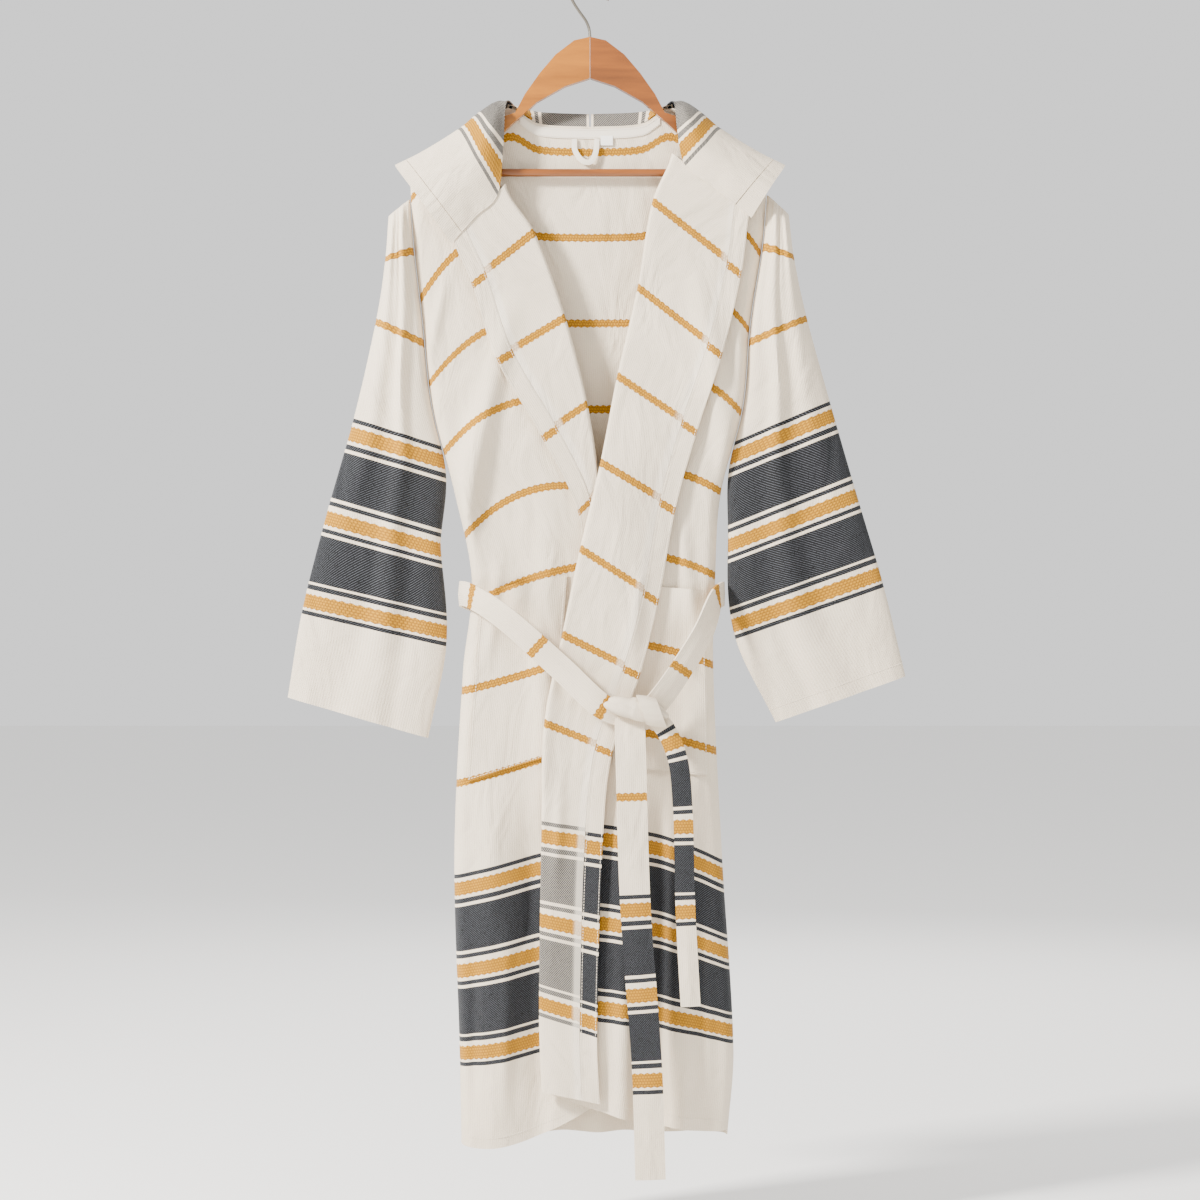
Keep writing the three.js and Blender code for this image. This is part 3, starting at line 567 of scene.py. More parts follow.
@dataclass
class BackPanel:
    """The back, from the neck and shoulders to the hem."""

    body: BodyForm
    shoulder_t: float = 1165.0
    shoulder_end_x: float = 205.0

    def grid(self) -> ClothGrid:
        """Grid of the back panel."""
        v = row_shares(170)
        shares = np.concatenate([[0, 0.003, 0.008, 0.016, 0.028], np.linspace(0.045, 0.955, 84),
                                 [0.972, 0.984, 0.992, 0.997, 1.0]])
        t = np.broadcast_to((v * self.shoulder_t)[:, None], (len(v), len(shares)))
        straight_t = 0.75 * self.shoulder_t
        height = BACK_CUT.read("z", np.minimum(t, straight_t))
        up = np.maximum(0, (t - straight_t) / (self.shoulder_t - straight_t))
        seam = height + (self.body.shoulder_z(self.shoulder_end_x) - height) * up
        left, right = self.body.side_x(-1, seam), self.body.side_x(1, seam)
        x = left + (right - left) * shares[None, :]
        z = height + (self.body.shoulder_z(x) - height) * up
        y = self.body.depth(x, z, BACK_FOLDS + BACK_CREASES)
        points = np.stack([x, y, z], axis=-1)
        return ClothGrid(points, run_across(points), t.copy())

    def build(self, finishes: "Finishes") -> None:
        """Make the back panel."""
        grid = self.grid()
        piece = grid.to_object("back_cloth", finishes.towel, outer_reversed=True)
        declare_cloth(grid, piece, "back_panel", (0.47, 1.18), CARRYING_ARMS)


@dataclass
class Sleeve:
    """A flattened tube whose inner edge follows the armhole."""

    side: Side
    cut: CutTable
    body: BodyForm
    armhole_t: float = 328.0
    head_t: float = 552.0
    ripple: float = 2.2
    ripples: int = 5

    def grid(self) -> ClothGrid:
        """Grid of the sleeve, wrapped round."""
        length = self.cut.rows[-1][0]
        rows = np.concatenate([np.linspace(0, 0.96, 116), np.linspace(0.965, 1, 16)])
        t = rows[:, None] * length
        angle = np.linspace(0, 2 * math.pi, 97)[:-1][None, :]
        read = partial(self.cut.read, at=t)
        inner_z = read("innerZ")
        seam = self.body.side_x(self.side.value, inner_z) + self.side.value * (CLOTH_MM + 0.8)
        meets = ease((t - self.armhole_t + 120) / 120)
        inner_x = read("innerX") + (seam - read("innerX")) * meets
        across = 0.5 - 0.5 * np.cos(angle)
        x = inner_x + (read("outerX") - inner_x) * across
        z = inner_z + (read("outerZ") - inner_z) * across
        wave = np.abs(np.sin(angle))
        full = np.sign(np.sin(angle)) * wave ** 0.7
        share = t / length
        ripple = self.ripple * np.sin(math.pi * self.ripples * across + 2 * share)
        fine = 1.1 * np.sin(23 * across + 5 * share) * np.sin(3 + 9 * share) * wave
        swell = 3.4 * np.exp(-((across - 0.36 - 0.12 * share) / 0.07) ** 2) * ease((0.95 - share) / 0.3)
        hollow = 2.6 * np.exp(-((across - 0.58 + 0.1 * share) / 0.06) ** 2) * ease(share / 0.3)
        fine = fine + (swell - hollow) * wave
        head = np.sqrt(1 - np.clip((t - self.head_t) / (length + 1 - self.head_t), 0, 1) ** 2)
        y = -full * (read("depth") + ripple * wave + fine) * head
        points = np.stack([x, y, z], axis=-1)
        girth = np.abs(read("outerX") - inner_x) * angle / math.pi
        return ClothGrid(points, girth, np.broadcast_to(t, y.shape).copy(), wraps=True)

    def build(self, finishes: "Finishes") -> None:
        """Make the sleeve."""
        word, left = self.side.word, self.side is Side.LEFT
        grid = self.grid()
        piece = grid.to_object(f"{word}_sleeve_cloth", finishes.towel, outer_reversed=left)
        declare_cloth(grid, piece, f"{word}_sleeve", (0.38, 0.62), ["back_cloth"])
        cuff = grid.points[3] + grid.normals()[3] * (CLOTH_MM / 2 + 0.2)
        finishes.stitcher.sew(f"{word}_cuff_stitches", np.vstack([cuff, cuff[:1]]))


def catmull_rom(points: np.ndarray, shares: np.ndarray) -> np.ndarray:
    """Smooth centripetal line through points.

    Args:
        points: Control points, the last two axes being point and coordinate.
        shares: Places along the line from 0 to 1.

    Returns:
        The line's points at those places.
    """
    count = points.shape[-2]
    place = shares * (count - 1)
    i = np.clip(np.floor(place).astype(int), 0, count - 2)
    w = (place - i)[:, None]
    before = 2 * points[..., :1, :] - points[..., 1:2, :]
    after = 2 * points[..., -1:, :] - points[..., -2:-1, :]
    padded = np.concatenate([before, points, after], axis=-2)
    p0, p1, p2, p3 = (padded[..., i + n, :] for n in range(4))
    spans = ((p0, p1), (p1, p2), (p2, p3))
    d0, d1, d2 = (np.sqrt(np.linalg.norm(b - a, axis=-1, keepdims=True)) for a, b in spans)
    m1 = ((p1 - p0) / d0 - (p2 - p0) / (d0 + d1) + (p2 - p1) / d1) * d1
    m2 = ((p2 - p1) / d1 - (p3 - p1) / (d1 + d2) + (p3 - p2) / d2) * d1
    return p1 + m1 * w + (3 * (p2 - p1) - 2 * m1 - m2) * w ** 2 + (2 * (p1 - p2) + m1 + m2) * w ** 3


@dataclass
class HoodHalf:
    """One half of the hood, thrown back over the shoulders, with its band round the face."""

    side: Side
    front: FrontPanel
    face_u: float = 290.0
    seam_gap: float = 0.9
    neck_tuck: float = 4.0
    weave_start: float = 132.0

    def hoops(self, u: np.ndarray) -> np.ndarray:
        """Control points of the hoops, from the neck seam over the shoulder to the middle back."""
        side = self.side.value
        read = partial(HOOD_CUT.read, at=u)
        left = self.side is Side.LEFT
        neck_x, neck_z = read("neckX" if left else "rightX"), read("neckZ" if left else "rightZ")
        on_lapel = ease((u - 105) / 45)
        lapel_y = self.front.lapel_y(neck_x, neck_z, (u - 186) / 104)
        neck_y = read("neckY") + (lapel_y - read("neckY")) * on_lapel
        tucked = neck_z - 3.0 * on_lapel - self.neck_tuck * (1 - ease((u - 60) / 30))
        neck = np.stack([neck_x, neck_y - 1.8 * on_lapel, tucked], axis=-1)
        over = np.stack([-side * read("topX"), read("topY"), read("topZ")], axis=-1)
        shoulder = (neck + over) / 2
        shoulder[:, 1] -= 16 * on_lapel
        behind = np.stack([-side * read("backX"), read("backY"), read("backZ")], axis=-1)
        middle = np.stack([np.full_like(u, side * 0.8), read("midY"), read("midZ")], axis=-1)
        low = behind * [0.5, 0.45, 0.4] + middle * [0, 0.55, 0.6]
        return np.stack([neck, shoulder, over, behind, low, middle], axis=1)

    def grid(self, start: float, end: float, rows: int) -> ClothGrid:
        """Grid of the cloth between two distances from the hood's centre back seam."""
        u = np.linspace(start, end, rows)
        shares = np.linspace(0, 1, 74)
        points = catmull_rom(self.hoops(u), shares)
        inside = np.sin(np.pi * shares)[None, :]
        wave = np.sin(0.055 * u[:, None] + 9 * shares[None, :]) * np.sin(7 * shares[None, :] + 1.3)
        points[..., 1] += 1.6 * wave * inside * ease((shares[None, :] - 0.5) / 0.2)
        points[..., 2] += 1.2 * wave * inside * ease((shares[None, :] - 0.45) / 0.2)
        across = run_across(points)
        weave = np.broadcast_to(u[:, None] + self.weave_start, across.shape)
        return ClothGrid(points, across, weave.copy())

    def build(self, finishes: "Finishes") -> None:
        """Make the half and its band."""
        word, seam_u = self.side.word, self.face_u - BAND_MM
        left = self.side is Side.LEFT
        carriers = [CARRYING_ARMS[0], f"{word}_front"]
        half = self.grid(0, seam_u - self.seam_gap, 90)
        cloth = half.to_object(f"{word}_hood_cloth", finishes.towel, outer_reversed=left)
        declare_cloth(half, cloth, f"{word}_hood", (0.37, 0.285), carriers)
        band = self.grid(seam_u, self.face_u, 9)
        strip = band.to_object(f"{word}_hood_band_cloth", finishes.towel, outer_reversed=left)
        declare_cloth(band, strip, f"{word}_hood_band", (0.385, 0.023), [f"{word}_hood"])


@dataclass
class PatchPocket:
    """Patch pocket whose stripes meet those of the front under it."""

    front: FrontPanel
    mouth_in: tuple[float, float]
    mouth_out: tuple[float, float]
    end_in: tuple[float, float]
    end_out: tuple[float, float]
    sag_x: float
    lift: float = 3.0

    def surface(self, share: np.ndarray, up: np.ndarray) -> np.ndarray:
        """Points of the pocket, share 0 at its inner edge and up 1 at its mouth."""
        corners = zip(self.end_in, self.mouth_in, self.end_out, self.mouth_out)
        x, z = ((low_in + (high_in - low_in) * up) * (1 - share)
                + (low_out + (high_out - low_out) * up) * share
                for low_in, high_in, low_out, high_out in corners)
        near_mouth = ease(1 + (z - self.mouth_out[1]) / 60)
        sag = 8 * np.exp(-((x - self.sag_x) / 15) ** 2) * near_mouth
        return np.stack([x, self.front.front_y(x, z) - self.lift - sag, z], axis=-1)

    def build(self, finishes: "Finishes") -> None:
        """Make the pocket."""
        word = self.front.side.word
        share, up = np.meshgrid(np.linspace(0, 1, 46), np.linspace(0, 1, 70))
        points = self.surface(share, up)
        under = self.front.locate(points[..., 0], points[..., 2])[1]
        grid = ClothGrid(points, run_across(points), under)
        left = self.front.side is Side.LEFT
        piece = grid.to_object(f"{word}_pocket_cloth", finishes.towel, outer_reversed=left)
        declare_cloth(grid, piece, f"{word}_pocket", (0.114, 0.22), [f"{word}_front"])
        edge = np.linspace(0.02, 0.98, 90)
        low, inner, outer = np.full(90, 0.012), np.full(90, 0.02), np.full(90, 0.98)
        for name, share, up in (("inner", inner, edge), ("outer", outer, edge), ("bottom", edge, low)):
            line = self.surface(share, up)
            line[:, 1] -= STITCH_LIFT_MM
            finishes.stitcher.sew(f"{word}_pocket_stitches_{name}", line)


@dataclass
class BeltStrap:
    """A stretch of the belt along a path, its stripes running across it."""

    name: str
    node: str
    path: tuple[tuple[float, float, float], ...]
    width: float
    faces_front: bool
    weave_at_start: float
    weave_step: float
    rests_on: tuple[str, ...]
    rows: int = 260
    thickness: float = 2.4

    def grid(self) -> ClothGrid:
        """Grid of the strap's middle surface."""
        shares = np.linspace(0, 1, self.rows)
        centre = catmull_rom(np.array(self.path, dtype=float), shares)
        along = np.gradient(centre, axis=0)
        if self.faces_front:
            outward = np.broadcast_to(np.array([0.0, -1.0, 0.0]), centre.shape)
        else:
            outward = centre * [1 / 160, 1 / 50, 0]
            outward = outward / np.linalg.norm(outward, axis=1, keepdims=True)
        across = np.cross(along, outward)
        across /= np.linalg.norm(across, axis=1, keepdims=True)
        place = np.linspace(-0.5, 0.5, 13)
        run = np.concatenate([[0], np.cumsum(np.linalg.norm(np.diff(centre, axis=0), axis=1))])
        ridge = 1 - np.abs(2 * place)[None, :]
        crease = (1.1 + 0.5 * np.sin(run / 37))[:, None] * ridge * ease(run / 25)[:, None]
        crease = crease + 0.5 * np.sin(run / 21)[:, None] * np.cos(np.pi * place)[None, :] ** 2
        crease = crease * min(1.0, self.width / 20 - 0.2)
        points = centre[:, None, :] + across[:, None, :] * (place * self.width)[None, :, None]
        points = points + outward[:, None, :] * crease[..., None]
        weave = np.repeat((self.weave_at_start + self.weave_step * run)[:, None], 13, axis=1)
        return ClothGrid(points, np.broadcast_to(place * self.width, weave.shape).copy(), weave,
                         thickness=self.thickness)

    def build(self, finishes: "Finishes") -> None:
        """Make the strap."""
        grid = self.grid()
        flipped = signed_facing(grid) < 0
        piece = grid.to_object(self.name, finishes.towel, outer_reversed=flipped)
        length = float(np.linalg.norm(np.diff(grid.points[:, 6], axis=0), axis=1).sum()) * MM
        cut = (self.width * MM, round(length, 3) + 0.001)
        declare_cloth(grid, piece, self.node, cut, self.rests_on)


def signed_facing(grid: ClothGrid) -> float:
    """Above 0 where a grid's first face looks away from the robe's upright axis or to the front."""
    middle = grid.points.reshape(-1, 3)
    outward = middle * [1 / 160, 1 / 50, 0]
    return float((grid.normals().reshape(-1, 3) * outward).sum())


@dataclass
class BeltKnot:
    """The knot in front: a stuffed core of folded cloth with one turn of the belt over it."""

    centre: tuple[float, float, float] = (52, -64, -835)
    half: tuple[float, float, float] = (37, 12, 14)
    lean: float = -0.16

    def core_grid(self) -> ClothGrid:
        """Grid of the core, creased where the belt's layers fold."""
        around = np.linspace(0, 2 * math.pi, 97)[:-1][None, :]
        up = np.linspace(0.0001, math.pi - 0.0001, 60)[:, None]
        x, z = np.sin(up) * np.cos(around), np.cos(up) * np.ones_like(around)
        y = np.sin(up) * np.sin(around)
        layers = 0.11 * np.abs(np.sin(3.1 * (z + 0.55 * x) + 0.6))
        folds = 0.89 + layers - 0.05 * np.exp(-((x + 0.25) / 0.16) ** 2)
        x, z = x * self.half[0] * folds, z * self.half[2] * folds
        lean = self.lean * x
        points = np.stack([x, y * self.half[1] * folds, z + lean], axis=-1) + self.centre
        x, z = x / self.half[0], z / self.half[2]
        return ClothGrid(points, 38 * around * np.ones_like(x), 484 + 24 * (z + 0.6 * x), wraps=True)

    def turn_grid(self) -> ClothGrid:
        """Grid of the turn of belt that lies over the core."""
        angle = np.linspace(0, 2 * math.pi, 81)[:-1][None, :]
        place = np.linspace(-0.5, 0.5, 17)[:, None]
        x = self.centre[0] + 17 + place * 22 - 6 * np.cos(angle)
        bow = 1 + 0.06 * np.cos(math.pi * place) - 0.05 * place
        y = self.centre[1] - (self.half[1] + 0.4) * np.sin(angle) * bow
        z = self.centre[2] + self.lean * (x - self.centre[0]) + (self.half[2] + 0.8) * np.cos(angle) * bow
        points = np.stack([x, y, z], axis=-1)
        weave = 482 + place * 27 + 0 * angle
        return ClothGrid(points, 30 * angle + 0 * place, weave, wraps=True, thickness=1.6)

    def build(self, finishes: "Finishes") -> None:
        """Make the core and the turn over it."""
        core = stuffed_object("belt_knot_core", self.core_grid(), finishes.towel)
        turn = self.turn_grid().to_object("belt_knot_turn", finishes.towel)
        declare(core, ["belt_knot"])
        declare(turn, ["belt_knot"])


def stuffed_object(name: str, grid: ClothGrid, material: bpy.types.Material) -> bpy.types.Object:
    """Make a stuffed form of cloth, closed at both poles, from a wrapped grid.

    Args:
        name: Name of the object.
        grid: The wrapped grid.
        material: Its finish.

    Returns:
        The new object.
    """
    rows, columns = grid.points.shape[:2]
    faces = [(i * columns + j, i * columns + (j + 1) % columns, (i + 1) * columns + (j + 1) % columns,
              (i + 1) * columns + j) for i in range(rows - 1) for j in range(columns)]
    faces.append(tuple(range(columns))[::-1])
    faces.append(tuple((rows - 1) * columns + j for j in range(columns)))
    mesh = bpy.data.meshes.new(name)
    mesh.from_pydata((grid.points.reshape(-1, 3) * MM).tolist(), [], faces)
    loops = np.zeros(len(mesh.loops), dtype=int)
    mesh.loops.foreach_get("vertex_index", loops)
    weave = np.column_stack([grid.across.reshape(-1)[loops], grid.along.reshape(-1)[loops]]) * MM
    mesh.uv_layers.new(name="weave").data.foreach_set("uv", weave.reshape(-1))
    mesh.attributes.new("wrong_side", "FLOAT", "FACE")
    if signed_volume(mesh) < 0:
        mesh.flip_normals()
    mesh.shade_smooth()
    mesh.materials.append(material)
    piece = bpy.data.objects.new(name, mesh)
    bpy.context.scene.collection.objects.link(piece)
    return piece


@dataclass
class NeckTrim:
    """Tape over the back neck seam, the bare label and the hanging loop."""

    body: BodyForm
    loop: tuple[tuple[float, float, float], ...] = (
        (-18, 9, -186.3), (-17, 7, -200), (-8, 5, -212), (0, 5, -213), (6, 6, -203), (8, 9, -186.3))

    def tape_point(self, x: np.ndarray, z: np.ndarray) -> np.ndarray:
        """Points just inside the back at the neck."""
        return np.stack([x, self.body.depth(x, z, BACK_FOLDS) - 1.5, z], axis=-1)

    def build(self, finishes: "Finishes") -> None:
        """Make the tape, its stitches, the loop and the label."""
        x = np.broadcast_to(np.linspace(-80, 80, 90)[None, :], (8, 90))
        down = np.linspace(0, 11, 8)[:, None]
        z = self.body.shoulder_z(x) - 3 - down
        tape = ClothGrid(self.tape_point(x, z), x.copy(), z.copy(), thickness=0.8)
        piece = tape.to_object("neck_tape_cloth", finishes.tape)
        declare_cloth(tape, piece, "neck_tape", (0.168, 0.0112), ["back_panel"])
        for name, drop in (("upper", 4.4), ("lower", 12.6)):
            line_x = np.linspace(-78, 78, 150)
            line = self.tape_point(line_x, self.body.shoulder_z(line_x) - drop)
            line[:, 1] -= 0.6
            finishes.stitcher.sew(f"neck_tape_stitches_{name}", line, "cotton_tape")
        loop = BeltStrap("hanging_loop_cloth", "hanging_loop", self.loop, 6, True, 0, 0,
                         ("neck_tape",), rows=90, thickness=1.6)
        strap = loop.grid()
        piece = strap.to_object(loop.name, finishes.tape)
        declare_cloth(strap, piece, "hanging_loop", (0.012, 0.082), ["neck_tape"])
        top = float(self.body.shoulder_z(np.array(19.0))) - 11
        label_x, label_z = np.meshgrid(np.linspace(12, 26, 16), np.linspace(top - 11, top, 14))
        back_y = float(self.tape_point(np.array(19.0), np.array(top))[1]) - 1.0
        curl = 0.2 * np.sin((label_z - top) / 4)
        points = np.stack([label_x, back_y + curl, label_z], axis=-1)
        label = ClothGrid(points, label_x, label_z, thickness=0.5)
        piece = label.to_object("size_label_cloth", finishes.label)
        declare_cloth(label, piece, "size_label", (0.0141, 0.0111), ["neck_tape"])


@dataclass
class Graph:
    """A node tree being filled with nodes."""

    tree: bpy.types.NodeTree

    def add(self, kind: str, inputs: dict | None = None, **settings: object) -> bpy.types.Node:
        """Add one node.

        Args:
            kind: Blender's name of the node type.
            inputs: Values or output sockets for its inputs, by name or number.
            settings: Properties of the node.

        Returns:
            The new node.
        """
        node = self.tree.nodes.new(kind)
        for name, value in settings.items():
            setattr(node, name, value)
        for key, value in (inputs or {}).items():
            if isinstance(value, bpy.types.NodeSocket):
                self.tree.links.new(value, node.inputs[key])
            else:
                node.inputs[key].default_value = value
        return node

    def math(self, operation: str, *values: object) -> bpy.types.NodeSocket:
        """Add one math node and give its result."""
        return self.add("ShaderNodeMath", dict(enumerate(values)), operation=operation).outputs[0]

    def wave(self, value: bpy.types.NodeSocket, pitch: float) -> bpy.types.NodeSocket:
        """Add a sine wave of the given pitch along a value and give its result."""
        return self.math("SINE", self.math("MULTIPLY", value, 2 * math.pi / pitch))

    def mix(self, share: object, first: object, second: object) -> bpy.types.NodeSocket:
        """Mix two colours and give the result."""
        return self.add("ShaderNodeMix", {0: share, 6: first, 7: second}, data_type="RGBA").outputs[2]


def new_material(name: str) -> tuple[bpy.types.Material, Graph, bpy.types.Node]:
    """Start a material and give it, its graph and its one surface shader."""
    material = bpy.data.materials.new(name)
    material.use_nodes = True
    graph = Graph(material.node_tree)
    shader = material.node_tree.nodes["Principled BSDF"]
    return material, graph, shader


@dataclass(frozen=True)
class TowelCloth:
    """Woven cotton towel cloth: cream ribs, gold basket stripes, charcoal twill blocks, dull and furred."""

    cream: str = "#F0E5D3"
    # Darker cream painted into the rib grooves as shade
    cream_painted_groove_shade: str = "#CFB896"
    gold: str = "#C68C0A"
    # Dark gold painted into the hollows between the beads as shade
    gold_painted_hollow_shade: str = "#744803"
    dark: str = "#050608"
    dark_fleck: str = "#53565D"
    # The real ribs, loops and twill are about 1 mm and are drawn two to three times as coarse, to show
    rib_mm: float = 2.2
    bead_mm: float = 3.2
    fuzz_per_m: float = 900.0
    tone_per_m: float = 14.0
    zigzag_mm: float = 7.0
    zigzag_rise: float = 0.45
    twill_mm: float = 2.6
    crumple_mm: float = 42.0
    thin_every_mm: float = 100.5
    thin_first_mm: float = 432.0
    thin_half_mm: float = 4.5
    thin_above_mm: float = 380.0
    wrong_side_fade: float = 0.36
    first_mm: float = 90.0
    span_mm: float = 240.0

    def border(self) -> list[tuple[float, str]]:
        """Starts of the border's stripes above the hem and the letter of each one's colour."""
        return [
            (90, "c"), (97.5, "d"), (101.8, "c"), (105.5, "g"), (121.5, "c"), (126.2, "d"),
            (131.5, "c"), (135, "d"), (188, "c"), (191.5, "d"), (196.8, "c"), (201.3, "g"),
            (217.3, "c"), (222.3, "d"), (227.6, "c"), (231.1, "d"), (283.1, "c"), (286.6, "d"),
            (291.9, "c"), (296.4, "g"), (312.4, "c"), (316.6, "d"), (320.9, "c")]

    def stripes(self, graph: Graph,
                v: bpy.types.NodeSocket) -> tuple[bpy.types.NodeSocket, bpy.types.NodeSocket]:
        """Masks of the gold and the dark stripes along the cloth."""
        place = graph.math("DIVIDE", graph.math("SUBTRACT", v, self.first_mm), self.span_mm)
        ramp = graph.add("ShaderNodeValToRGB", {0: place})
        stops = ramp.color_ramp
        stops.interpolation = "CONSTANT"
        codes = {"c": (0, 0, 0, 1), "g": (1, 0, 0, 1), "d": (0, 1, 0, 1)}
        for start, letter in self.border()[2:]:
            stops.elements.new((start - self.first_mm) / self.span_mm).color = codes[letter]
        stops.elements[0].color = codes["c"]
        stops.elements[-1].color = codes["c"]
        for element, (start, letter) in zip(stops.elements, self.border()):
            element.position = (start - self.first_mm) / self.span_mm
            element.color = codes[letter]
        split = graph.add("ShaderNodeSeparateColor", {0: ramp.outputs[0]})
        from_line = graph.math("WRAP", graph.math("SUBTRACT", v, self.thin_first_mm),
                               self.thin_every_mm / 2, -self.thin_every_mm / 2)
        thin = graph.math("LESS_THAN", graph.math("ABSOLUTE", from_line), self.thin_half_mm)
        thin = graph.math("MULTIPLY", thin, graph.math("GREATER_THAN", v, self.thin_above_mm))
        return graph.math("MAXIMUM", split.outputs[0], thin), split.outputs[1]

    def make(self) -> bpy.types.Material:
        """Make the material."""
        material, graph, shader = new_material("cotton_towel_cloth")
        uv = graph.add("ShaderNodeUVMap", uv_map="weave")
        place = graph.add("ShaderNodeSeparateXYZ", {0: uv.outputs[0]})
        u = graph.math("MULTIPLY", place.outputs[0], 1000.0)
        v = graph.math("MULTIPLY", place.outputs[1], 1000.0)
        zigzag = graph.math("MULTIPLY", graph.math("PINGPONG", u, self.zigzag_mm / 2), self.zigzag_rise)
        gold = self.stripes(graph, graph.math("ADD", v, zigzag))[0]
        dark = self.stripes(graph, v)[1]
        noises = [graph.add("ShaderNodeTexNoise", {"Vector": uv.outputs[0], "Scale": scale, "Detail": 2.0})
                  for scale in (self.fuzz_per_m, self.tone_per_m)]
        fuzz, broad = (noise.outputs[0] for noise in noises)
        rib = graph.math("MULTIPLY_ADD", graph.wave(u, self.rib_mm), 0.13, graph.math("MULTIPLY", fuzz, 0.9))
        bead_row = graph.math("FLOOR", graph.math("DIVIDE", v, self.bead_mm))
        odd_row = graph.math("MULTIPLY", bead_row, self.bead_mm / 2)
        bead_u = graph.math("ABSOLUTE", graph.wave(graph.math("ADD", u, odd_row), 2 * self.bead_mm))
        bead_v = graph.math("ABSOLUTE", graph.wave(v, 2 * self.bead_mm))
        bead = graph.math("POWER", graph.math("MULTIPLY", bead_u, bead_v), 0.6)
        diagonal = graph.wave(graph.math("ADD", u, v), self.twill_mm)
        float_threads = graph.math("GREATER_THAN", graph.math("MULTIPLY", diagonal, fuzz), 0.36)
        fleck = graph.math("MULTIPLY", float_threads, 0.75)
        # Painted shade: the cream is darkened in the low parts of the ribs and fuzz
        cream = graph.mix(graph.math("MULTIPLY_ADD", rib, 0.8, 0.22),
                          srgb(self.cream_painted_groove_shade), srgb(self.cream))
        # Painted shade and light: the gold is darker in the hollows between beads and lighter on their tops
        gold_tone = graph.mix(graph.math("MULTIPLY_ADD", fuzz, 0.3, graph.math("MULTIPLY", bead, 0.75)),
                              srgb(self.gold_painted_hollow_shade), srgb(self.gold))
        dark_tone = graph.mix(fleck, srgb(self.dark), srgb(self.dark_fleck))
        colour = graph.mix(dark, graph.mix(gold, cream, gold_tone), dark_tone)
        wrong = graph.add("ShaderNodeAttribute", attribute_name="wrong_side").outputs["Fac"]
        floats = graph.math("MULTIPLY", graph.math("GREATER_THAN", diagonal, 0.2), self.wrong_side_fade)
        faded = graph.math("MULTIPLY", graph.math("MULTIPLY", wrong, dark), floats)
        colour = graph.mix(faded, colour, srgb(self.cream))
        sewn = graph.add("ShaderNodeAttribute", attribute_name="seam_strip").outputs["Fac"]
        colour = graph.mix(graph.math("MULTIPLY", sewn, 0.5), colour, srgb(self.cream))
        tone = graph.math("MULTIPLY_ADD", broad, 0.22, 0.87)
        colour = graph.add("ShaderNodeHueSaturation", {"Value": tone, "Color": colour}).outputs[0]
        height = graph.math("MULTIPLY_ADD", gold, graph.math("SUBTRACT", bead, rib), rib)
        twill_step = graph.math("SUBTRACT", graph.math("MULTIPLY", diagonal, 0.3), height)
        height = graph.math("MULTIPLY_ADD", dark, twill_step, height)
        height = graph.math("MULTIPLY_ADD", fuzz, 0.35, height)
        stretch = graph.add("ShaderNodeMapping", {0: uv.outputs[0], "Scale": (1.0, 0.45, 1.0)}).outputs[0]
        crumple = graph.add("ShaderNodeTexNoise", {"Vector": stretch, "Scale": 1000 / self.crumple_mm,
                                                   "Detail": 2.5, "Distortion": 1.2}).outputs[0]
        soft = graph.add("ShaderNodeBump", {"Height": crumple, "Strength": 0.55, "Distance": 0.009})
        bump = graph.add("ShaderNodeBump", {"Height": height, "Strength": 0.8, "Distance": 0.0007,
                                            "Normal": soft.outputs[0]})
        graph.tree.links.new(colour, shader.inputs["Base Color"])
        graph.tree.links.new(bump.outputs[0], shader.inputs["Normal"])
        shader.inputs["Roughness"].default_value = 0.93
        shader.inputs["IOR"].default_value = 1.46
        shader.inputs["Sheen Weight"].default_value = 0.06
        shader.inputs["Sheen Roughness"].default_value = 0.45
        return material


@dataclass(frozen=True)
class PlainCotton:
    """Plain cotton of one colour, as tape, label and thread: dull with a fine weave."""

    name: str
    colour: str
    weave_mm: float = 0.7

    def make(self) -> bpy.types.Material:
        """Make the material."""
        material, graph, shader = new_material(self.name)
        coords = graph.add("ShaderNodeTexCoord").outputs["Object"]
        weave = graph.add("ShaderNodeTexNoise", {"Vector": coords, "Scale": 1000 / self.weave_mm}).outputs[0]
        bump = graph.add("ShaderNodeBump", {"Height": weave, "Strength": 0.5, "Distance": 0.0002})
        graph.tree.links.new(bump.outputs[0], shader.inputs["Normal"])
        shader.inputs["Base Color"].default_value = srgb(self.colour)
        shader.inputs["Roughness"].default_value = 0.85
        shader.inputs["IOR"].default_value = 1.46
        return material


@dataclass(frozen=True)
class VarnishedWood:
    """Varnished hanger wood: streaks of a darker tone along the grain under a thin gloss."""

    name: str
    light: str
    dark: str
    streak_mm: float = 3.0

    def make(self) -> bpy.types.Material:
        """Make the material."""
        material, graph, shader = new_material(self.name)
        coords = graph.add("ShaderNodeTexCoord").outputs["Object"]
        stretch = graph.add("ShaderNodeMapping", {0: coords, "Scale": (0.12, 1.0, 1.0)}).outputs[0]
        grain = graph.add("ShaderNodeTexNoise", {"Vector": stretch, "Scale": 1000 / self.streak_mm / 4,
                                                 "Detail": 6.0, "Distortion": 0.6}).outputs[0]
        tone = graph.mix(graph.math("SMOOTH_MIN", graph.math("MULTIPLY", grain, 1.4), 1.0, 0.1),
                         srgb(self.dark), srgb(self.light))
        bump = graph.add("ShaderNodeBump", {"Height": grain, "Strength": 0.15, "Distance": 0.0003})
        graph.tree.links.new(tone, shader.inputs["Base Color"])
        graph.tree.links.new(bump.outputs[0], shader.inputs["Normal"])
        shader.inputs["Roughness"].default_value = 0.38
        shader.inputs["IOR"].default_value = 1.5
        shader.inputs["Coat Weight"].default_value = 0.35
        shader.inputs["Coat Roughness"].default_value = 0.2
        return material


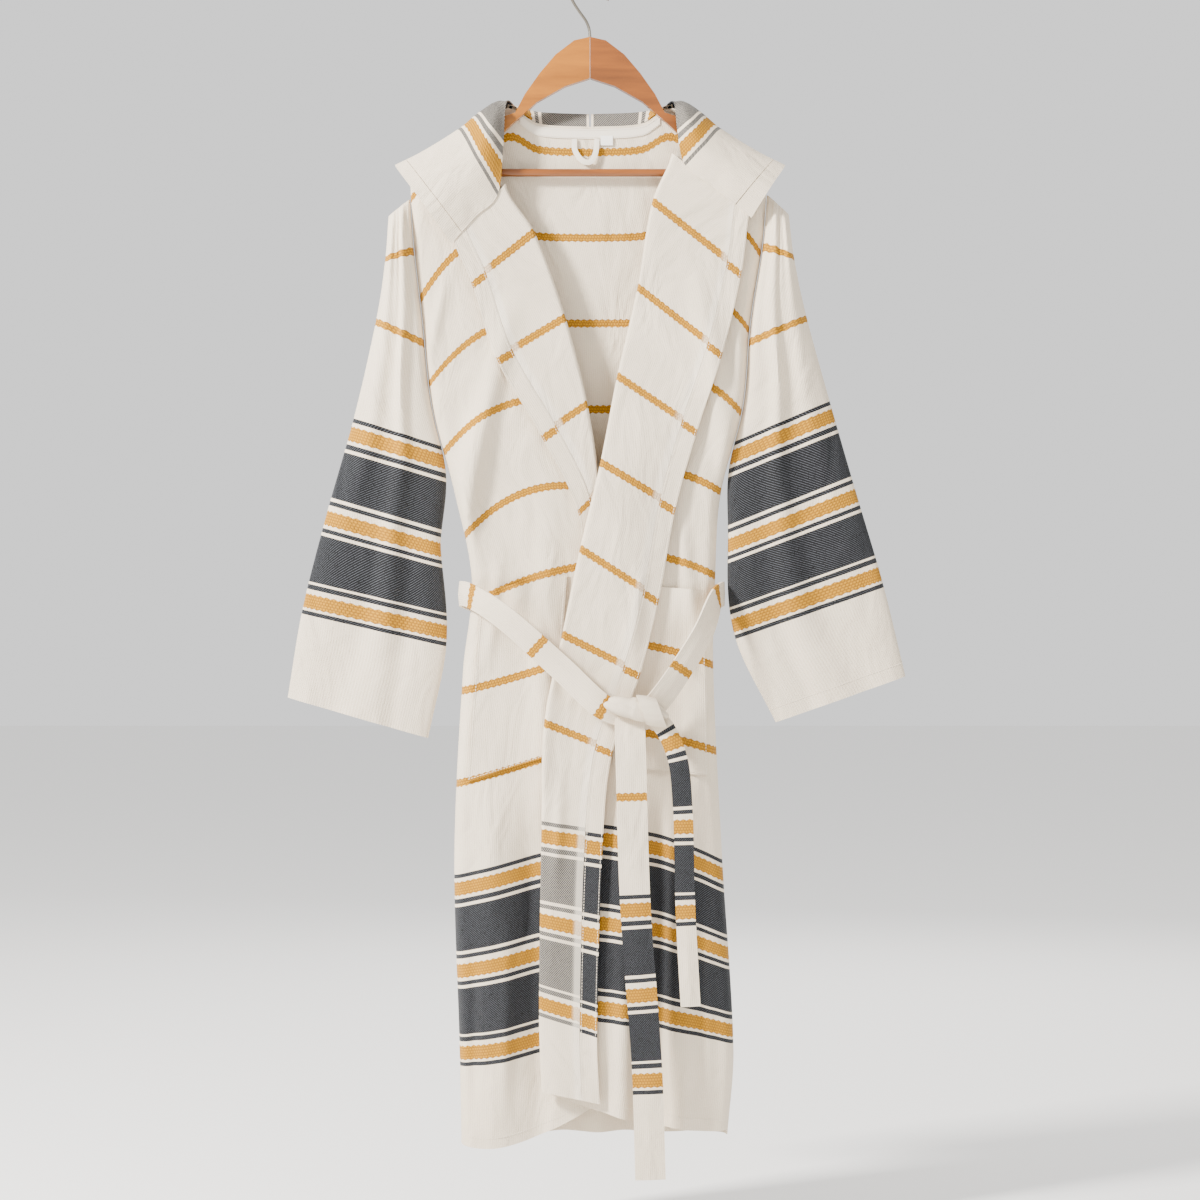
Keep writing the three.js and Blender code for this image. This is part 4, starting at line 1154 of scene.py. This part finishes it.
@dataclass(frozen=True)
class HookWire:
    """Bare steel wire of the hook, a little dull and warm."""

    colour: str = "#8A8378"

    def make(self) -> bpy.types.Material:
        """Make the material."""
        material, _, shader = new_material("hook_steel_wire")
        shader.inputs["Base Color"].default_value = srgb(self.colour)
        shader.inputs["Metallic"].default_value = 1.0
        shader.inputs["Roughness"].default_value = 0.3
        return material


class Stitcher:
    """Sews running stitches along lines with Geometry Nodes."""

    # The real stitches are about 2.5 mm and the thread 0.4 mm, drawn coarser to show
    pitch = 0.0034
    width = 0.0007

    def __init__(self, thread: bpy.types.Material) -> None:
        """Build the node group once for all seams."""
        self.thread = thread
        group = bpy.data.node_groups.new("running_stitches", "GeometryNodeTree")
        face = group.interface
        face.new_socket("Geometry", in_out="INPUT", socket_type="NodeSocketGeometry")
        face.new_socket("Stitch Pitch", in_out="INPUT", socket_type="NodeSocketFloat")
        face.new_socket("Thread Width", in_out="INPUT", socket_type="NodeSocketFloat")
        face.new_socket("Thread", in_out="INPUT", socket_type="NodeSocketMaterial")
        face.new_socket("Geometry", in_out="OUTPUT", socket_type="NodeSocketGeometry")
        graph = Graph(group)
        given = graph.add("NodeGroupInput").outputs
        curve = graph.add("GeometryNodeMeshToCurve", {0: given[0]}).outputs[0]
        spots = graph.add("GeometryNodeCurveToPoints", {"Curve": curve, "Length": given[1]},
                          mode="LENGTH").outputs
        depth = graph.math("MULTIPLY", given[1], 0.66)
        radius = graph.math("MULTIPLY", given[2], 0.5)
        thread_piece = graph.add("GeometryNodeMeshCylinder",
                                 {"Vertices": 6, "Radius": radius, "Depth": depth})
        size = graph.add("FunctionNodeRandomValue", {2: 0.88, 3: 1.08, "Seed": 7}, data_type="FLOAT")
        placed = graph.add("GeometryNodeInstanceOnPoints", {
            "Points": spots[0], "Instance": thread_piece.outputs[0],
            "Rotation": spots["Rotation"], "Scale": size.outputs[1]})
        real = graph.add("GeometryNodeRealizeInstances", {0: placed.outputs[0]})
        dressed = graph.add("GeometryNodeSetMaterial", {0: real.outputs[0], "Material": given[3]})
        graph.add("NodeGroupOutput", {0: dressed.outputs[0]})
        self.group = group

    def sew(self, name: str, line: np.ndarray, slot: str = "towel_cloth") -> None:
        """Sew one seam.

        Args:
            name: Name of the new object.
            line: The seam's points in millimetres.
            slot: Name of a material slot; not used.
        """
        mesh = bpy.data.meshes.new(name)
        mesh.from_pydata((line * MM).tolist(), [(i, i + 1) for i in range(len(line) - 1)], [])
        seam = bpy.data.objects.new(name, mesh)
        bpy.context.scene.collection.objects.link(seam)
        modifier = seam.modifiers.new("stitches", "NODES")
        modifier.node_group = self.group
        values = {"Stitch Pitch": self.pitch, "Thread Width": self.width, "Thread": self.thread}
        for item in self.group.interface.items_tree:
            if item.in_out == "INPUT" and item.name in values:
                modifier[item.identifier] = values[item.name]
        bpy.context.view_layer.update()
        sewn = bpy.data.meshes.new_from_object(seam.evaluated_get(bpy.context.evaluated_depsgraph_get()))
        seam.modifiers.remove(modifier)
        seam.data = sewn
        declare(seam, [])


class Finishes:
    """All finishes of the robe and its hanger, made once."""

    def __init__(self) -> None:
        """Make the materials and the stitcher."""
        self.towel = TowelCloth().make()
        self.tape = PlainCotton("cotton_tape", "#E9DFCE").make()
        self.label = PlainCotton("bare_label_cotton", "#F4F1EA", 0.4).make()
        self.honey = VarnishedWood("honey_wood", "#AA6600", "#6E3A00").make()
        self.brown = VarnishedWood("brown_wood", "#8A4A04", "#421F02").make()
        self.steel = HookWire().make()
        self.stitcher = Stitcher(PlainCotton("sewing_thread", "#E6DCCB").make())


@dataclass
class Hanger:
    """The hanger, kept as the frame gives it and given its wood and steel."""

    def build(self, finishes: Finishes) -> None:
        """Put the finishes on the hanger's solids."""
        looks = {"left_hanger_arm": finishes.honey, "right_hanger_arm": finishes.brown,
                 "hanger_bar": finishes.brown, "hanger_hook": finishes.steel}
        for name, material in looks.items():
            piece = bpy.data.objects[name]
            for slot in piece.material_slots:
                slot.material = material
            LOG.info("finished %s as %s", name, material.name)


@dataclass
class Studio:
    """Camera at the photo's view, soft lights from the upper left and a plain pale floor."""

    centre: tuple[float, float, float] = (0.0114, 0.0, -0.713)
    distance: float = 3.5
    frame_width: float = 1.368
    floor_z: float = -1.43
    floor_half: float = 14.0
    room_strength: float = 1.3
    lamps: tuple[tuple[str, tuple[float, float, float], float, float], ...] = (
        ("key", (-2.5, -1.7, 1.2), 0.5, 430), ("fill", (2.4, -2.6, -0.3), 2.4, 22),
        ("behind", (0.6, 2.6, 0.6), 1.6, 50))

    def lamp(self, name: str, place: tuple[float, float, float], size: float, power: float) -> None:
        """Add one soft square light that faces the robe."""
        light = bpy.data.lights.new(name, "AREA")
        light.size = size
        light.energy = power
        light.color = (1.0, 0.97, 0.93)
        lamp = bpy.data.objects.new(name, light)
        lamp.location = place
        lamp.rotation_euler = (Vector(self.centre) - Vector(place)).to_track_quat("-Z", "Y").to_euler()
        bpy.context.scene.collection.objects.link(lamp)

    def build(self) -> None:
        """Make the camera, the lights, the world and the floor."""
        scene = bpy.context.scene
        camera = bpy.data.cameras.new("camera")
        camera.sensor_width = 36
        camera.lens = camera.sensor_width * self.distance / self.frame_width
        camera.clip_end = 100
        eye = bpy.data.objects.new("camera", camera)
        eye.location = (self.centre[0], -self.distance, self.centre[2])
        eye.rotation_euler = (math.radians(90), 0, 0)
        scene.collection.objects.link(eye)
        scene.camera = eye
        for name, place, size, power in self.lamps:
            self.lamp(name, place, size, power)
        world = bpy.data.worlds.new("pale_room")
        world.use_nodes = True
        room = world.node_tree.nodes["Background"]
        room.inputs["Color"].default_value = srgb("#F4F4F4")
        room.inputs["Strength"].default_value = self.room_strength
        scene.world = world
        material, _, shader = new_material("pale_floor")
        shader.inputs["Base Color"].default_value = srgb("#F4F3F1")
        shader.inputs["Roughness"].default_value = 0.9
        mesh = bpy.data.meshes.new("floor")
        half = self.floor_half
        corners = [(-half, -half), (half, -half), (half, half), (-half, half)]
        mesh.from_pydata([(x, y, self.floor_z) for x, y in corners], [], [(0, 1, 2, 3)])
        mesh.materials.append(material)
        floor = bpy.data.objects.new("floor", mesh)
        scene.collection.objects.link(floor)


# Paths of the belt in millimetres, each from behind the knot
BELT_ROUND = (
    (38, -51, -842), (14.3, -57, -832.5), (-34, -54, -788), (-100, -50, -730), (-136, -25, -708),
    (-148, 6, -706), (-134, 31, -712), (-80, 38, -722), (-20, 32.5, -726), (66, 37, -722),
    (136, 28, -712), (152, 4, -706), (143, -27, -712), (126, -50, -752), (88, -55, -812),
    (66, -51, -840))
BELT_LONG_END = (
    (46, -50.5, -836), (45, -56, -856), (46, -61, -895), (51, -60, -1055), (64, -60, -1237),
    (68, -58, -1363))
BELT_SHORT_END = (
    (70, -52, -842), (84, -58, -857), (98, -60, -890), (104, -58, -945), (107, -57, -1055),
    (113, -56, -1169))


def main() -> None:
    """Build the robe, its belt, its hanger and the studio, and note the sizes."""
    logging.basicConfig(level=logging.INFO, format="%(name)s: %(message)s")
    finishes = Finishes()
    body = BodyForm()
    left = FrontPanel(Side.LEFT, LEFT_FRONT_CUT, body)
    right = FrontPanel(Side.RIGHT, RIGHT_FRONT_CUT, body)
    parts = [
        BackPanel(body), left, right,
        Sleeve(Side.LEFT, LEFT_SLEEVE_CUT, body), Sleeve(Side.RIGHT, RIGHT_SLEEVE_CUT, body),
        HoodHalf(Side.LEFT, left), HoodHalf(Side.RIGHT, right),
        PatchPocket(left, (-26, -684), (-123, -702), (-40, -888), (-139, -919), -82),
        PatchPocket(right, (26, -694), (130, -702), (26, -900), (134, -912), 112),
        BeltStrap("belt_round_cloth", "belt_round", BELT_ROUND, 28, False, 406, 1, ("back_panel",), 420),
        BeltStrap("belt_long_end_cloth", "belt_long_end", BELT_LONG_END, 34, True, 530, -1, ("belt_knot",)),
        BeltStrap("belt_short_end_cloth", "belt_short_end", BELT_SHORT_END, 22, True, 344, -1,
                  ("belt_knot",)),
        BeltKnot(), NeckTrim(body), Hanger(),
    ]
    for part in parts:
        part.build(finishes)
    Studio().build()


if __name__ == "__main__":
    main()
